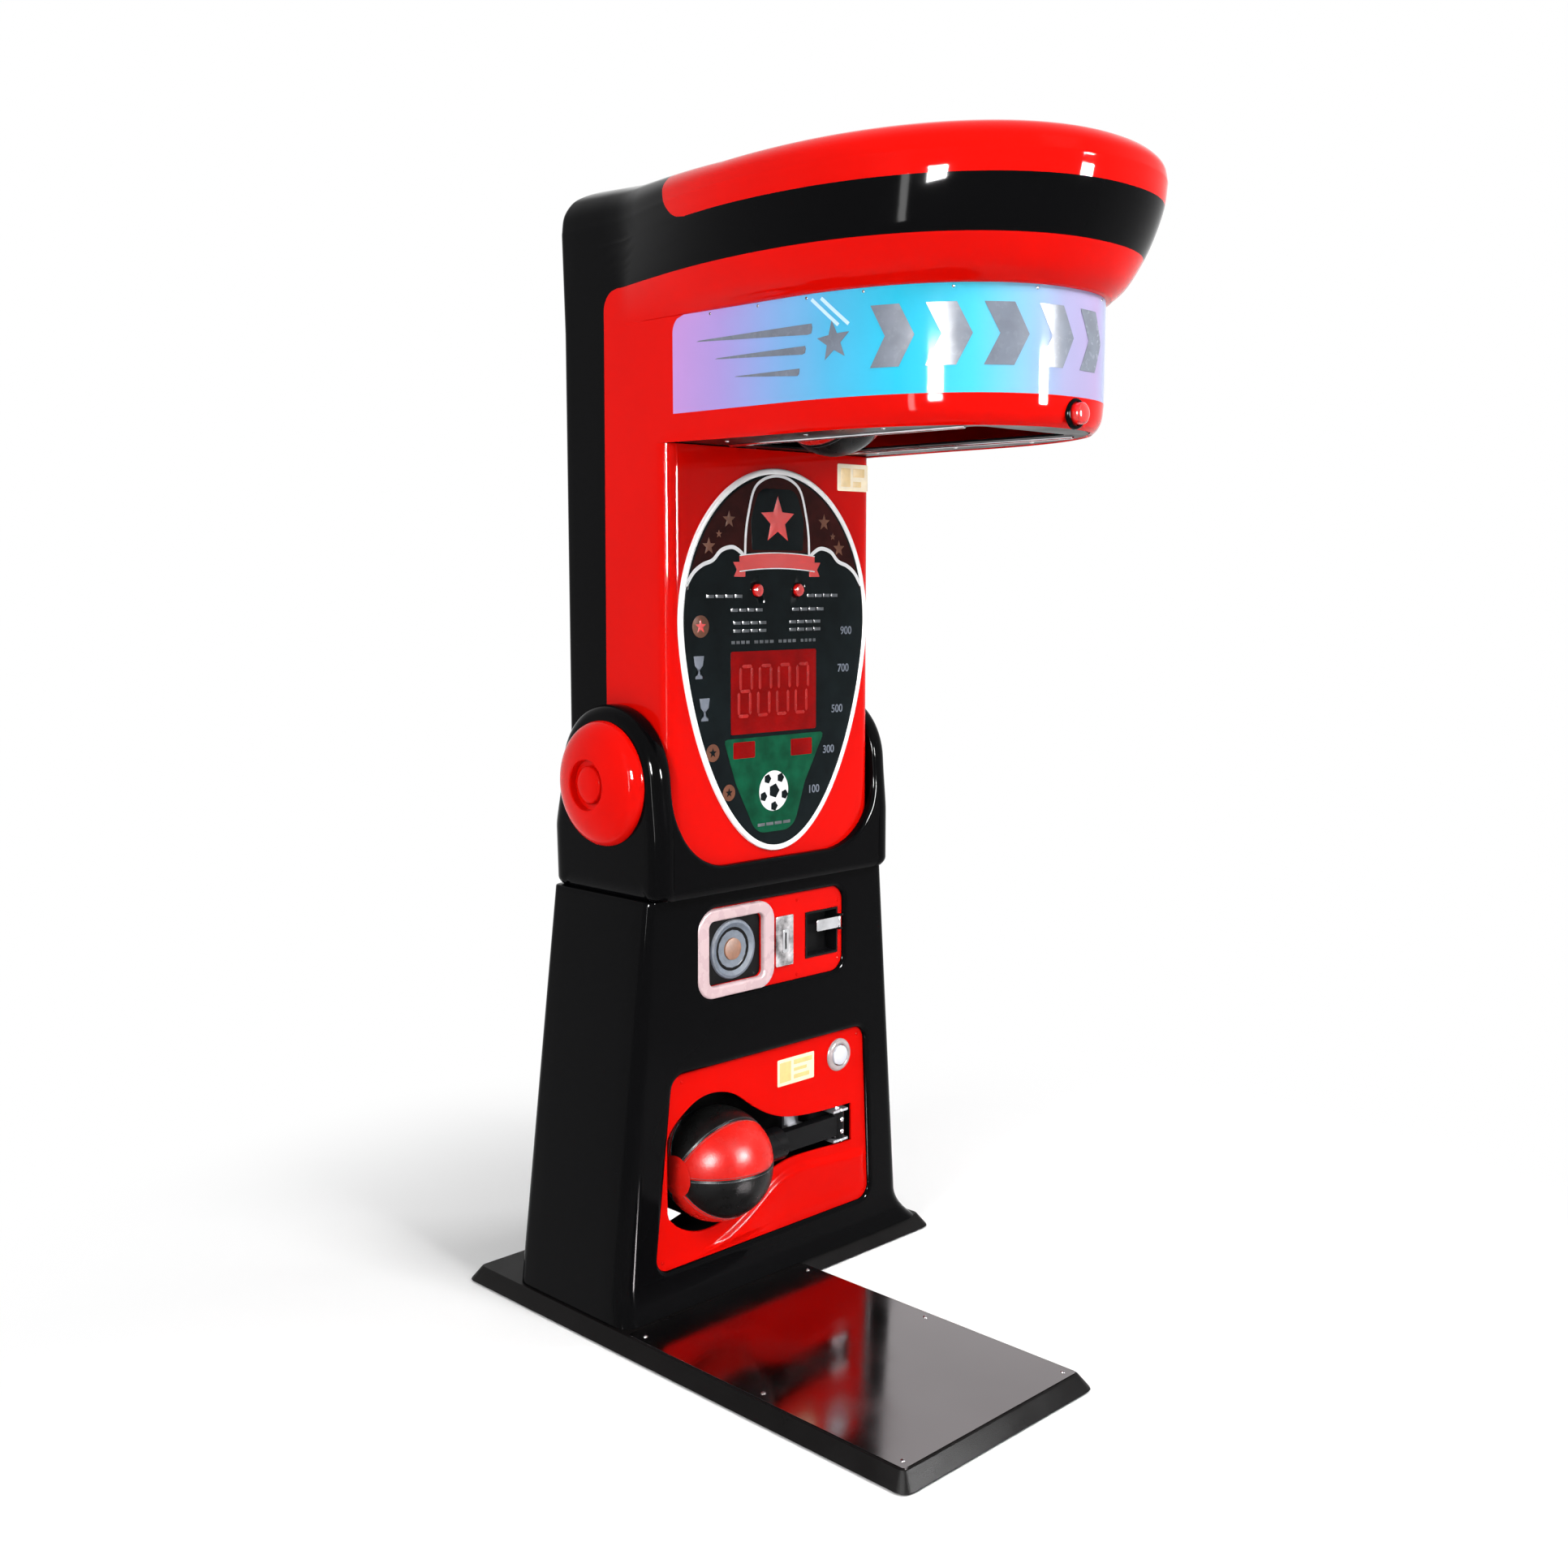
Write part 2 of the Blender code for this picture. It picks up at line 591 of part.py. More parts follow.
# ---- coin panel ----
def make_coin_panel():
    """Red plate with a speaker, a coin entry, a reject cup and its lever."""
    front = COIN_FACE
    back = COIN_FACE + PLATE_THICK
    panel = plate("coin_plate", coin_outline(0), "XZ", front, back, "red")
    half = SPEAKER_SIZE / 2
    tall = SPEAKER_HEIGHT / 2
    outer = rounded(rectangle(SPEAKER_X - half, SPEAKER_X + half, SPEAKER_Z - tall, SPEAKER_Z + tall), 0.034)
    inner_x = half - SPEAKER_RIM
    inner_z = tall - SPEAKER_RIM * 0.8
    window = rectangle(SPEAKER_X - inner_x, SPEAKER_X + inner_x, SPEAKER_Z - inner_z, SPEAKER_Z + inner_z)
    plate("speaker_frame", outer, "XZ", front - GAP - 0.011, front - GAP, "white",
          holes=[rounded(window, 0.014)])
    combine(panel, plate("speaker_window", rounded(window, 0.014), "XZ", -HIDDEN, HIDDEN / 5, "cutter"))

    speaker = box("speaker", (SPEAKER_X - inner_x - 0.008, back + GAP, SPEAKER_Z - inner_z - 0.008),
                  (SPEAKER_X + inner_x + 0.008, back + GAP + 0.004, SPEAKER_Z + inner_z + 0.008), "black")
    magnet = rod("speaker_magnet", (SPEAKER_X, back + 0.021, SPEAKER_Z), "Y", SPEAKER_RADIUS * 0.7, 0.036,
                 "cutter")
    weld(speaker, magnet)
    cone = rod("speaker_cone", (SPEAKER_X, back + 0.002, SPEAKER_Z), "Y", 0.018, 0.014, "cutter",
               tip=SPEAKER_RADIUS)
    cone.rotation_euler = (pi / 2, 0, 0)
    combine(speaker, cone)

    width, height = COIN_ENTRY_SIZE
    entry = box("coin_entry", (COIN_ENTRY_X - width / 2, front - GAP - 0.006, COIN_Z - height / 2),
                (COIN_ENTRY_X + width / 2, front - GAP, COIN_Z + height / 2), "chrome")
    slot = box("coin_slot", (COIN_ENTRY_X - 0.002, -HIDDEN, COIN_Z - 0.016),
               (COIN_ENTRY_X + 0.002, back + 0.01, COIN_Z + 0.016), "cutter")
    combine(entry, slot)
    combine(panel, slot)
    validator = box("coin_validator", (COIN_ENTRY_X - 0.045, back + GAP, COIN_Z - 0.075),
                    (COIN_ENTRY_X + 0.035, back + GAP + 0.055, COIN_Z + 0.055), "black")
    combine(validator, slot)

    half = COIN_UNIT_SIZE[0] / 2
    tall = COIN_UNIT_SIZE[1] / 2
    unit_front = front - 0.002
    unit = box("coin_reject_cup", (COIN_UNIT_X - half, unit_front, COIN_Z - tall),
               (COIN_UNIT_X + half, unit_front + COIN_UNIT_DEPTH, COIN_Z + tall), "black")
    wall = 0.004
    hollow = box("cup_hollow", (COIN_UNIT_X - half + wall, -HIDDEN, COIN_Z - tall + wall),
                 (COIN_UNIT_X + half - wall, unit_front + COIN_UNIT_DEPTH - wall, COIN_Z + tall - wall),
                 "cutter")
    hole = box("cup_hole", (COIN_UNIT_X - half - GAP, -HIDDEN, COIN_Z - tall - GAP),
               (COIN_UNIT_X + half + GAP, HIDDEN / 5, COIN_Z + tall + GAP), "cutter")
    combine(panel, hole)
    lever_z = COIN_Z + LEVER_RISE
    lever_x = COIN_UNIT_X + half - 0.002
    ear_y = (unit_front - 0.010, front - GAP)
    for side in (-1, 1):
        near = lever_z + side * (LEVER_HEIGHT / 2 + GAP)
        far = near + side * 0.004
        ear = box("lever_ear_%d" % side, (lever_x - 0.004, ear_y[0], min(near, far)),
                  (lever_x + 0.006, ear_y[1], max(near, far)), "cutter")
        combine(unit, ear, "UNION")
    combine(unit, hollow)
    lever_y = unit_front - 0.005
    boss = rod("coin_return_lever", (lever_x, lever_y, lever_z), "Z", 0.0045, LEVER_HEIGHT, "chrome", 12)
    blade = box("lever_blade", (lever_x - LEVER_LENGTH, lever_y - 0.003, lever_z - LEVER_HEIGHT / 2),
                (lever_x, lever_y + 0.001, lever_z + LEVER_HEIGHT / 2), "cutter")
    weld(boss, blade)


# ---- kick panel ----
def window_size():
    """Left, right, bottom and top of the ball's window, then the arm's slot."""
    room = KICK_BALL_RADIUS + BALL_ROOM
    middle = KICK_Z + WINDOW_LIFT
    slot = KICK_Z + SLOT_LIFT
    end = KICK_AXLE_X + KICK_HUB + SLOT_END
    return (KICK_BALL_X - room, KICK_BALL_X + room, middle - room, middle + room,
            slot - KICK_SLOT / 2, slot + KICK_SLOT / 2, end)


def pear_outline():
    """The ball's round window, open at its left, running into the arm's slot."""
    left, neck, bottom, top, slot_low, slot_high, end = window_size()
    open_x = left - 0.056
    corners = [(end, slot_low), (end, slot_high), (neck + 0.033, slot_high), (neck - 0.107, top),
               (left + 0.069, top), (open_x, top - 0.105), (open_x, bottom + 0.123), (left + 0.043, bottom),
               (neck - 0.0745, bottom), (neck + 0.017, slot_low)]
    return rounded(corners, [0.004, 0.004, 0.07, 0.06, 0.06, 0.01, 0.01, 0.05, 0.07, 0.04])


def pocket_outline(inset):
    """The pocket behind the window, lower where only the arm goes."""
    left, neck, bottom, top, slot_low, slot_high, end = window_size()
    left += inset - 0.024
    right = end + 0.006 - inset
    low = bottom - 0.008 + inset
    high = top + 0.008 - inset
    step_x = neck + 0.05 - inset
    step_z = slot_high + 0.014 - inset
    corners = [(left, low), (right, low), (right, step_z), (step_x, step_z), (step_x, high), (left, high)]
    return rounded(corners, [0.03, 0.01, 0.01, 0.01, 0.03, 0.03])


def make_kick_panel():
    """Red panel, the black pocket behind it, and the start button."""
    back = KICK_FACE + PLATE_THICK
    panel = plate("kick_panel", kick_outline(-0.002), "XZ", KICK_FACE, back, "red")
    combine(panel, plate("kick_pear", pear_outline(), "XZ", -HIDDEN, HIDDEN / 5, "cutter"))
    x, z = KICK_BUTTON
    combine(panel, rod("kick_button_hole", (x, KICK_FACE, z), "Y", KICK_BUTTON_RADIUS + 2 * RUN, 0.1, "cutter"))
    ring_thick = 0.006
    plate("kick_button_ring", circle(x, z, KICK_RING_RADIUS), "XZ", KICK_FACE - GAP - ring_thick,
          KICK_FACE - GAP, "chrome", holes=[circle(x, z, KICK_BUTTON_RADIUS + 2 * RUN)])
    button = rod("kick_button", (x, KICK_FACE - 0.001, z), "Y", KICK_BUTTON_RADIUS, 0.022, "white", 20)
    pivot("kick_button_axis", (x, KICK_FACE, z), button)

    rear = back + GAP + POCKET_DEPTH
    pocket = plate("kick_pocket", pocket_outline(0), "XZ", back + GAP, rear, "black")
    hollow = plate("pocket_hollow", pocket_outline(POCKET_WALL), "XZ", -HIDDEN, rear - POCKET_WALL, "cutter")
    combine(pocket, hollow)


def make_kick_arm():
    """Bracket, axle, arm, collar and ball, swinging about the axle."""
    half = KICK_HUB_HEIGHT / 2
    back = KICK_FACE + PLATE_THICK + POCKET_DEPTH - POCKET_WALL
    left = KICK_AXLE_X - KICK_HUB - 0.008
    right = KICK_AXLE_X + KICK_HUB + 0.004
    bracket = box("kick_bracket", (left, back - 0.006, KICK_Z - half - 0.02),
                  (right, back, KICK_Z + half + 0.02), "steel")
    for side in (-1, 1):
        near = KICK_Z + side * (half + RUN)
        far = near + side * 0.005
        lug = box("kick_lug_%d" % side, (left, KICK_Y - 0.014, min(near, far)), (right, back, max(near, far)),
                  "cutter")
        weld(bracket, lug)
    bore = rod("kick_bore", (KICK_AXLE_X, KICK_Y, KICK_Z), "Z", KICK_AXLE_RADIUS + RUN, 0.2, "cutter")
    combine(bracket, bore)
    rod("kick_axle", (KICK_AXLE_X, KICK_Y, KICK_Z), "Z", KICK_AXLE_RADIUS, KICK_HUB_HEIGHT + 0.020, "chrome")

    arm = rod("kick_arm", (KICK_AXLE_X, KICK_Y, KICK_Z), "Z", KICK_HUB, KICK_HUB_HEIGHT, "black", 20)
    end = KICK_BALL_X + KICK_BALL_RADIUS + GAP
    wide, tall = KICK_ARM_SIZE
    bar = box("kick_bar", (end + KICK_COLLAR_LENGTH - 0.004, KICK_Y - wide / 2, KICK_Z - tall / 2),
              (KICK_AXLE_X, KICK_Y + wide / 2, KICK_Z + tall / 2), "cutter")
    collar = rod("kick_collar", (end + KICK_COLLAR_LENGTH / 2, KICK_Y, KICK_Z), "X", KICK_COLLAR,
                 KICK_COLLAR_LENGTH, "cutter", 20)
    weld(arm, bar, collar)
    combine(arm, bore)
    bag = ball("kick_ball", (KICK_BALL_X, KICK_Y, KICK_Z), KICK_BALL_RADIUS, "leather")
    bag.rotation_euler = AXES["X"]
    pivot("kick_axis", (KICK_AXLE_X, KICK_Y, KICK_Z), arm, bag)


# ---- yoke and hubs ----
def make_yoke():
    """Black collar that holds the upper column between two lobes."""
    start = LOWER_TOP + GAP
    side_view = [(YOKE_FRONT, start), (YOKE_FRONT, LOBE_ROOT)]
    for k in range(15):
        a = pi * (1 - k / 14)
        side_view.append((LOBE_Y + LOBE_RADIUS * cos(a), LOBE_Z + LOBE_RADIUS * sin(a)))
    side_view += [(YOKE_REAR, LOBE_ROOT), (YOKE_REAR, start)]
    yoke = plate("yoke_shell", side_view, "YZ", -YOKE_SIDE, YOKE_SIDE, "black")
    bevel = yoke.modifiers.new("edge", "BEVEL")
    bevel.width = YOKE_EDGE
    bevel.segments = 2
    bevel.limit_method = "ANGLE"
    bevel.angle_limit = 1.2
    front, rear = YOKE_FRONT_CORNER, YOKE_REAR_CORNER
    plan = rounded(rectangle(-YOKE_SIDE - GAP, YOKE_SIDE + GAP, YOKE_FRONT - GAP, YOKE_REAR + GAP),
                   [front, front, rear, rear], 5)
    combine(yoke, plate("yoke_plan", plan, "XY", start + GAP / 3, LOBE_Z + HIDDEN, "cutter"), "INTERSECT")
    top = LOBE_Z + LOBE_RADIUS
    fit = COLUMN_SIDE + 2 * GAP
    cavity = box("column_cavity", (-fit, -2 * GAP, YOKE_FLOOR), (fit, COLUMN_REAR + 2 * GAP, top + 0.1),
                 "cutter")
    combine(yoke, cavity)
    mouth = rounded(rectangle(-fit, fit, YOKE_LIP, top + 0.1),
                    [YOKE_LIP_CORNER, YOKE_LIP_CORNER, 0.01, 0.01], 6)
    combine(yoke, plate("yoke_mouth", mouth, "XZ", YOKE_FRONT - 0.05, 0.0, "cutter"))
    skin = YOKE_SKIN
    under = box("yoke_under", (-fit - skin, YOKE_FRONT + skin + 0.012, start - 0.05),
                (fit + skin, COLUMN_REAR, YOKE_FLOOR - skin), "cutter")
    combine(yoke, under)
    for side in (-1, 1):
        near = side * (fit + WALL)
        far = side * (YOKE_SIDE - skin)
        pocket = box("lobe_pocket_%d" % side, (min(near, far), 0.020, start - 0.05),
                     (max(near, far), YOKE_REAR - YOKE_REAR_CORNER, LOBE_Z + 0.060), "cutter")
        combine(yoke, pocket)
    passage = box("yoke_passage", (-DECK_SIDE, DECK_FRONT, start - 0.05),
                  (DECK_SIDE, DECK_REAR, YOKE_FLOOR + 0.05), "cutter")
    combine(yoke, passage)


def make_hubs():
    """Bulging red domes over the yoke's bolts, each with a cap in its middle."""
    skin = 0.004
    well = HUB_CAP_RADIUS + HUB_WELL
    rise = HUB_BULGE * sqrt(1 - (well / HUB_RADIUS) ** 2)
    floor = rise - HUB_CAP_DROP - 0.010
    profile = [(0, floor), (well, floor), (well, rise)]
    angles = [k * pi / 14 for k in range(8)]
    outer = [(HUB_RADIUS * cos(a), HUB_BULGE * sin(a)) for a in angles]
    outer = [point for point in outer if point[0] > well + 2 * skin]
    profile += outer[::-1]
    slim = 1 - skin / HUB_RADIUS
    low = 1 - 1.6 * skin / HUB_BULGE
    profile += [(radius * slim, height * low) for radius, height in outer]
    profile += [(well + skin, floor - skin), (0, floor - skin)]
    for name, axis, side in (("left", "-X", -1), ("right", "X", 1)):
        place = (side * (YOKE_SIDE + GAP), HUB_Y, HUB_Z)
        turned("hub_dome_" + name, profile, place, axis, "red")
        thick = rise - HUB_CAP_DROP - floor - GAP
        middle = side * (YOKE_SIDE + GAP + floor + GAP + thick / 2)
        rod("hub_cap_" + name, (middle, HUB_Y, HUB_Z), "X", HUB_CAP_RADIUS, thick, "red", 20)


# ---- upper column and head ----
def column_ring(z, inset):
    side = COLUMN_SIDE - inset
    corners = [(-side, inset), (side, inset), (side, COLUMN_REAR - inset), (-side, COLUMN_REAR - inset)]
    front = COLUMN_FRONT_CORNER - inset * 0.8
    rear = COLUMN_REAR_CORNER - inset * 0.8
    return [(x, y, z) for x, y in rounded(corners, [front, front, rear, rear])]


def head_ring(side, reach, rear_side, rear, corner=COLUMN_REAR_CORNER):
    """Plan of the head: straight rear, sides that swell, superellipse front."""
    half = []
    for k in range(4):
        a = pi / 2 * (1 + k / 3)
        half.append((-rear_side + corner + corner * cos(a), rear - corner + corner * sin(a)))
    for k in range(1, 5):
        t = k / 5
        half.append((-rear_side - (side - rear_side) * sin(t * pi / 2),
                     FLARE_START + (HEAD_MIDDLE - FLARE_START) * t))
    for k in range(8):
        a = k * pi / 14
        half.append((-side * cos(a) ** (2 / HEAD_POWER),
                     HEAD_MIDDLE - (reach + HEAD_MIDDLE) * sin(a) ** (2 / HEAD_POWER)))
    return half + [(-x, y) for x, y in half[-2::-1]]


def head_levels(inset):
    """The head's plans from the lip's edge to the top of the roof."""
    side = HEAD_SIDE - inset
    reach = MARQUEE_REACH - inset
    rear = HEAD_REAR - inset
    corner = COLUMN_REAR_CORNER - inset * 0.8
    levels = []
    for rise, narrower in LIP_PROFILE:
        ring = head_ring(side - narrower, reach - narrower, side, rear, corner)
        levels.append([(x, y, MARQUEE_BOTTOM + rise) for x, y in ring])
    edge = VISOR_PROFILE[-1]
    for rise, wider, further in VISOR_PROFILE:
        swell = REAR_SWELL * rise / edge[0]
        ring = head_ring(side + wider, reach + further, side + swell, rear + swell, corner)
        levels.append([(x, y, MARQUEE_TOP + rise) for x, y in ring])
    for step, climb in CROWN_PROFILE:
        ring = head_ring(side + edge[1] - step, reach + edge[2] - step,
                         side + REAR_SWELL - step * 0.75, rear + REAR_SWELL - step * 0.4, corner)
        level = []
        for x, y in ring:
            lean = CROWN_TILT * max(0.0, y - CROWN_BREAK) * climb / CROWN_HEIGHT
            level.append((x, y, MARQUEE_TOP + edge[0] + climb + lean - inset))
        levels.append(level)
    if inset:
        levels[0] = [(x, y, z + inset / 2) for x, y, z in levels[0]]
    return levels


def front_outline(inset, rear):
    """Plan of the head's front up to a straight edge at the rear."""
    side = HEAD_SIDE - inset
    ring = head_ring(side, MARQUEE_REACH - inset, side, HEAD_REAR)
    path = [(x, y) for x, y in ring if y < rear - 0.008]
    return [(-side, rear)] + path + [(side, rear)]


def make_upper_shells():
    """Red front moulding, black spine with its band, and the red cap.

    The three are cut from one outer form, so their outsides run through.
    """
    column_top = MARQUEE_BOTTOM + 0.06
    lip_inset = LIP_PROFILE[0][1] + WALL
    mouth = plate("head_mouth", front_outline(lip_inset, -GAP), "XY", LIP_BOTTOM - 0.02, LIP_BOTTOM + WALL,
                  "cutter")
    bottom = COLUMN_BOTTOM
    head = loft("head_form", head_levels(0), "cutter")
    head_inside = loft("head_inside", head_levels(WALL), "cutter")
    inside = loft("column_inside", [column_ring(z, WALL) for z in (bottom - 0.02, column_top)], "cutter")

    band = MARQUEE_TOP + BAND_RISE
    cap = MARQUEE_TOP + CAP_RISE

    def front_zone(name, shrink):
        corners = [(-HIDDEN * 2, HIDDEN), (SPLIT_LOW - shrink, HIDDEN), (SPLIT_HIGH - shrink, band - shrink),
                   (-HIDDEN * 2, band - shrink)]
        outline = rounded(corners, [0.01, 0.01, SPLIT_CORNER - shrink, 0.01], 4)
        return plate(name, outline, "YZ", -HIDDEN, HIDDEN, "cutter")

    def cap_zone(name, shrink):
        corners = rectangle(-HIDDEN * 2, CAP_REAR - shrink, cap + shrink, 3.0)
        outline = rounded(corners, [0.01, CAP_CORNER - shrink, 0.01, 0.01], 4)
        return plate(name, outline, "YZ", -HIDDEN, HIDDEN, "cutter")

    def form(name, finish):
        obj = loft(name, [column_ring(z, 0) for z in (bottom, column_top)], finish)
        combine(obj, head, "UNION")
        combine(obj, inside)
        combine(obj, head_inside)
        return obj

    red = form("upper_body_shell", "red")
    combine(red, mouth)
    combine(red, front_zone("front_zone", GAP), "INTERSECT")
    spine = form("spine_shell", "black")
    combine(spine, front_zone("spine_zone", 0.0))
    combine(spine, cap_zone("band_zone", 0.0))
    roof = loft("head_cap", head_levels(0), "red")
    combine(roof, head_inside)
    combine(roof, cap_zone("cap_zone", GAP), "INTERSECT")

    lens_room = box("lens_room", (-HIDDEN, -HIDDEN * 2, MARQUEE_BOTTOM - GAP),
                    (HIDDEN, MARQUEE_REAR + GAP, MARQUEE_TOP + GAP / 3), "cutter")
    combine(red, lens_room)
    window = plate("display_window", egg(WINDOW_INSET), "XZ", -0.02, 0.02, "cutter")
    combine(red, window)
    lip_z = MARQUEE_BOTTOM + LIP_PROFILE[2][0]
    hole = rod("lip_button_hole", (0, -MARQUEE_REACH, lip_z), "Y", LIP_BUTTON_RADIUS + RUN, 0.06, "cutter", 20)
    combine(red, hole)


def make_head_fittings():
    """Lens and its lamps, the panel under the head, and the lip's button."""
    lens = front_outline(0, MARQUEE_REAR) + front_outline(LENS_THICK, MARQUEE_REAR)[::-1]
    plate("marquee_lens", lens, "XY", MARQUEE_BOTTOM, MARQUEE_TOP, "lens")
    half = POST_X + POST_SIZE / 2
    box("marquee_lamp_board", (-half, BEAM_FRONT - GAP - 0.005, MARQUEE_BOTTOM + 0.02),
        (half, BEAM_FRONT - GAP, BEAM_Z + 0.01), "board")
    low = LIP_BOTTOM + TRAY_PANEL_RISE
    outline = front_outline(LIP_PROFILE[0][1] + WALL + GAP, -GAP)
    bay = rounded(rectangle(-BAY_SIDE, BAY_SIDE, BAY_FRONT, BAY_REAR), 0.02)
    plate("head_underside_panel", outline, "XY", low, low + 0.004, "black", holes=[bay])
    lip_z = MARQUEE_BOTTOM + LIP_PROFILE[2][0]
    face = -MARQUEE_REACH
    button = rod("lip_button", (0, face - 0.004, lip_z), "Y", LIP_BUTTON_RADIUS, 0.028, "red", 20)
    pivot("lip_button_axis", (0, face, lip_z), button)


# ---- display ----
def egg(inset):
    """Outline of the display: half an ellipse above, a slimmer egg below."""
    side = DISPLAY_SIDE - inset
    up = DISPLAY_TOP - DISPLAY_WIDEST - inset
    down = DISPLAY_WIDEST - DISPLAY_BOTTOM - inset
    right = []
    for k in range(8):
        a = k * pi / 16
        right.append((side * cos(a), DISPLAY_WIDEST + up * sin(a)))
    top = [(0, DISPLAY_WIDEST + up)]
    lower = []
    for k in range(1, 10):
        t = sin(k * pi / 20)
        lower.append((side * sqrt(1 - t ** 1.6), DISPLAY_WIDEST - down * t))
    tip = [(0, DISPLAY_WIDEST - down)]
    right = lower[::-1] + right
    return tip + right + top + [(-x, z) for x, z in right[::-1]]


def make_display():
    """White ring, dark glass, LED board behind it and two mode buttons."""
    plate("display_ring", egg(0), "XZ", -GAP - RING_THICK, -GAP, "white", holes=[egg(RING_WIDTH)])
    places = [-MODE_SPREAD, MODE_SPREAD]
    holes = [circle(x, MODE_Z, MODE_RADIUS + RUN, 16) for x in places]
    plate("display_glass", egg(RING_WIDTH + GAP), "XZ", -GAP - GLASS_THICK, -GAP, "glass", holes=holes)
    board = plate("display_board", egg(BOARD_INSET), "XZ", WALL + GAP, WALL + GAP + 0.003, "board")
    width, height = LED_SIZE
    leds = box("led_block", (-width / 2, 0.0002, LED_Z - height / 2), (width / 2, WALL + 0.002, LED_Z + height / 2),
               "cutter")
    weld(board, leds)
    for name, x in zip(("left", "right"), places):
        button = rod("mode_button_" + name, (x, -0.0065, MODE_Z), "Y", MODE_RADIUS, 0.013, "red")
        pivot("mode_axis_" + name, (x, 0, MODE_Z), button)


# ---- frame and mechanism ----
def make_frame():
    """Welded steel skeleton from the tray up into the head.

    Cross tubes are a little slimmer than the posts and beams that they join.
    """
    half = POST_SIZE / 2
    slim = half - 0.001
    foot = TRAY_TOP + GAP
    top = BEAM_Z + half
    frame = box("inner_frame", (-POST_X, POST_Y - slim, BEAM_Z - slim), (POST_X, POST_Y + slim, BEAM_Z + slim),
                "steel")
    bars = []
    for side in (-1, 1):
        x = side * POST_X
        bars.append(((x - half, POST_Y - half, foot), (x + half, POST_Y + half, top - 0.002)))
        bars.append(((x - slim, BEAM_FRONT, BEAM_Z - half), (x + slim, POST_Y + half - 0.002, top)))
        bars.append(((x - 0.035, POST_Y - 0.034, foot - GAP / 3), (x + 0.035, POST_Y + 0.036, foot + 0.005)))
        bars.append(((x - slim + 0.001, BUMPER_Y - half, DROP_Z), (x + slim - 0.001, BUMPER_Y + half, BEAM_Z)))
    for y in (MAGNET_Y, BEAM_FRONT + half + 0.001):
        bars.append(((-POST_X, y - slim, BEAM_Z - slim), (POST_X, y + slim, BEAM_Z + slim)))
    for z in (0.62, 1.30):
        bars.append(((-POST_X, POST_Y - slim, z), (POST_X, POST_Y + slim, z + POST_SIZE)))
    wide = POST_X + slim - 0.002
    bars.append(((-wide, BUMPER_Y - slim, DROP_Z - half), (wide, BUMPER_Y + slim, DROP_Z + half)))
    for number, (low, high) in enumerate(bars):
        weld(frame, box("frame_bar_%d" % number, low, high, "cutter"))


def make_electrics():
    """Power supply, control board, cash box and the chute that feeds it."""
    floor = TRAY_TOP + 2 * GAP
    box("power_supply", (0.20, 0.205, floor), (0.33, 0.29, floor + 0.055), "steel")
    post = POST_X + POST_SIZE / 2 + GAP
    box("control_board", (-post - 0.12, POST_Y - 0.002, 0.48), (-post, POST_Y, 0.66), "board")
    low = (-CASH_SIDE, 0.190, floor)
    high = (CASH_SIDE, 0.300, floor + 0.12)
    tin = box("cash_box", low, high, "steel")
    wall = SHEET
    combine(tin, box("cash_hollow", (low[0] + wall, low[1] + wall, low[2] + wall),
                     (high[0] - wall, high[1] - wall, high[2] + 0.1), "cutter"))
    rings = []
    top = COIN_Z - 0.075 - GAP
    back = COIN_FACE + PLATE_THICK + GAP
    for y, z in ((back + 0.006, top), (back + 0.010, top - 0.05), (POST_Y - 0.045, 0.475),
                 (POST_Y - 0.045, floor + 0.121)):
        rings.append([(COIN_ENTRY_X - 0.02, y, z), (COIN_ENTRY_X + 0.02, y, z),
                      (COIN_ENTRY_X + 0.02, y + 0.014, z), (COIN_ENTRY_X - 0.02, y + 0.014, z)])
    chute = loft("coin_chute", rings, "steel")
    inner = []
    for k, ring in enumerate(rings):
        stretch = {0: 0.02, len(rings) - 1: -0.02}.get(k, 0)
        inner.append([(x + (0.0015 if x < COIN_ENTRY_X else -0.0015),
                       y + (0.0015 if i < 2 else -0.0015), z + stretch) for i, (x, y, z) in enumerate(ring)])
    combine(chute, loft("chute_hollow", inner, "cutter"))


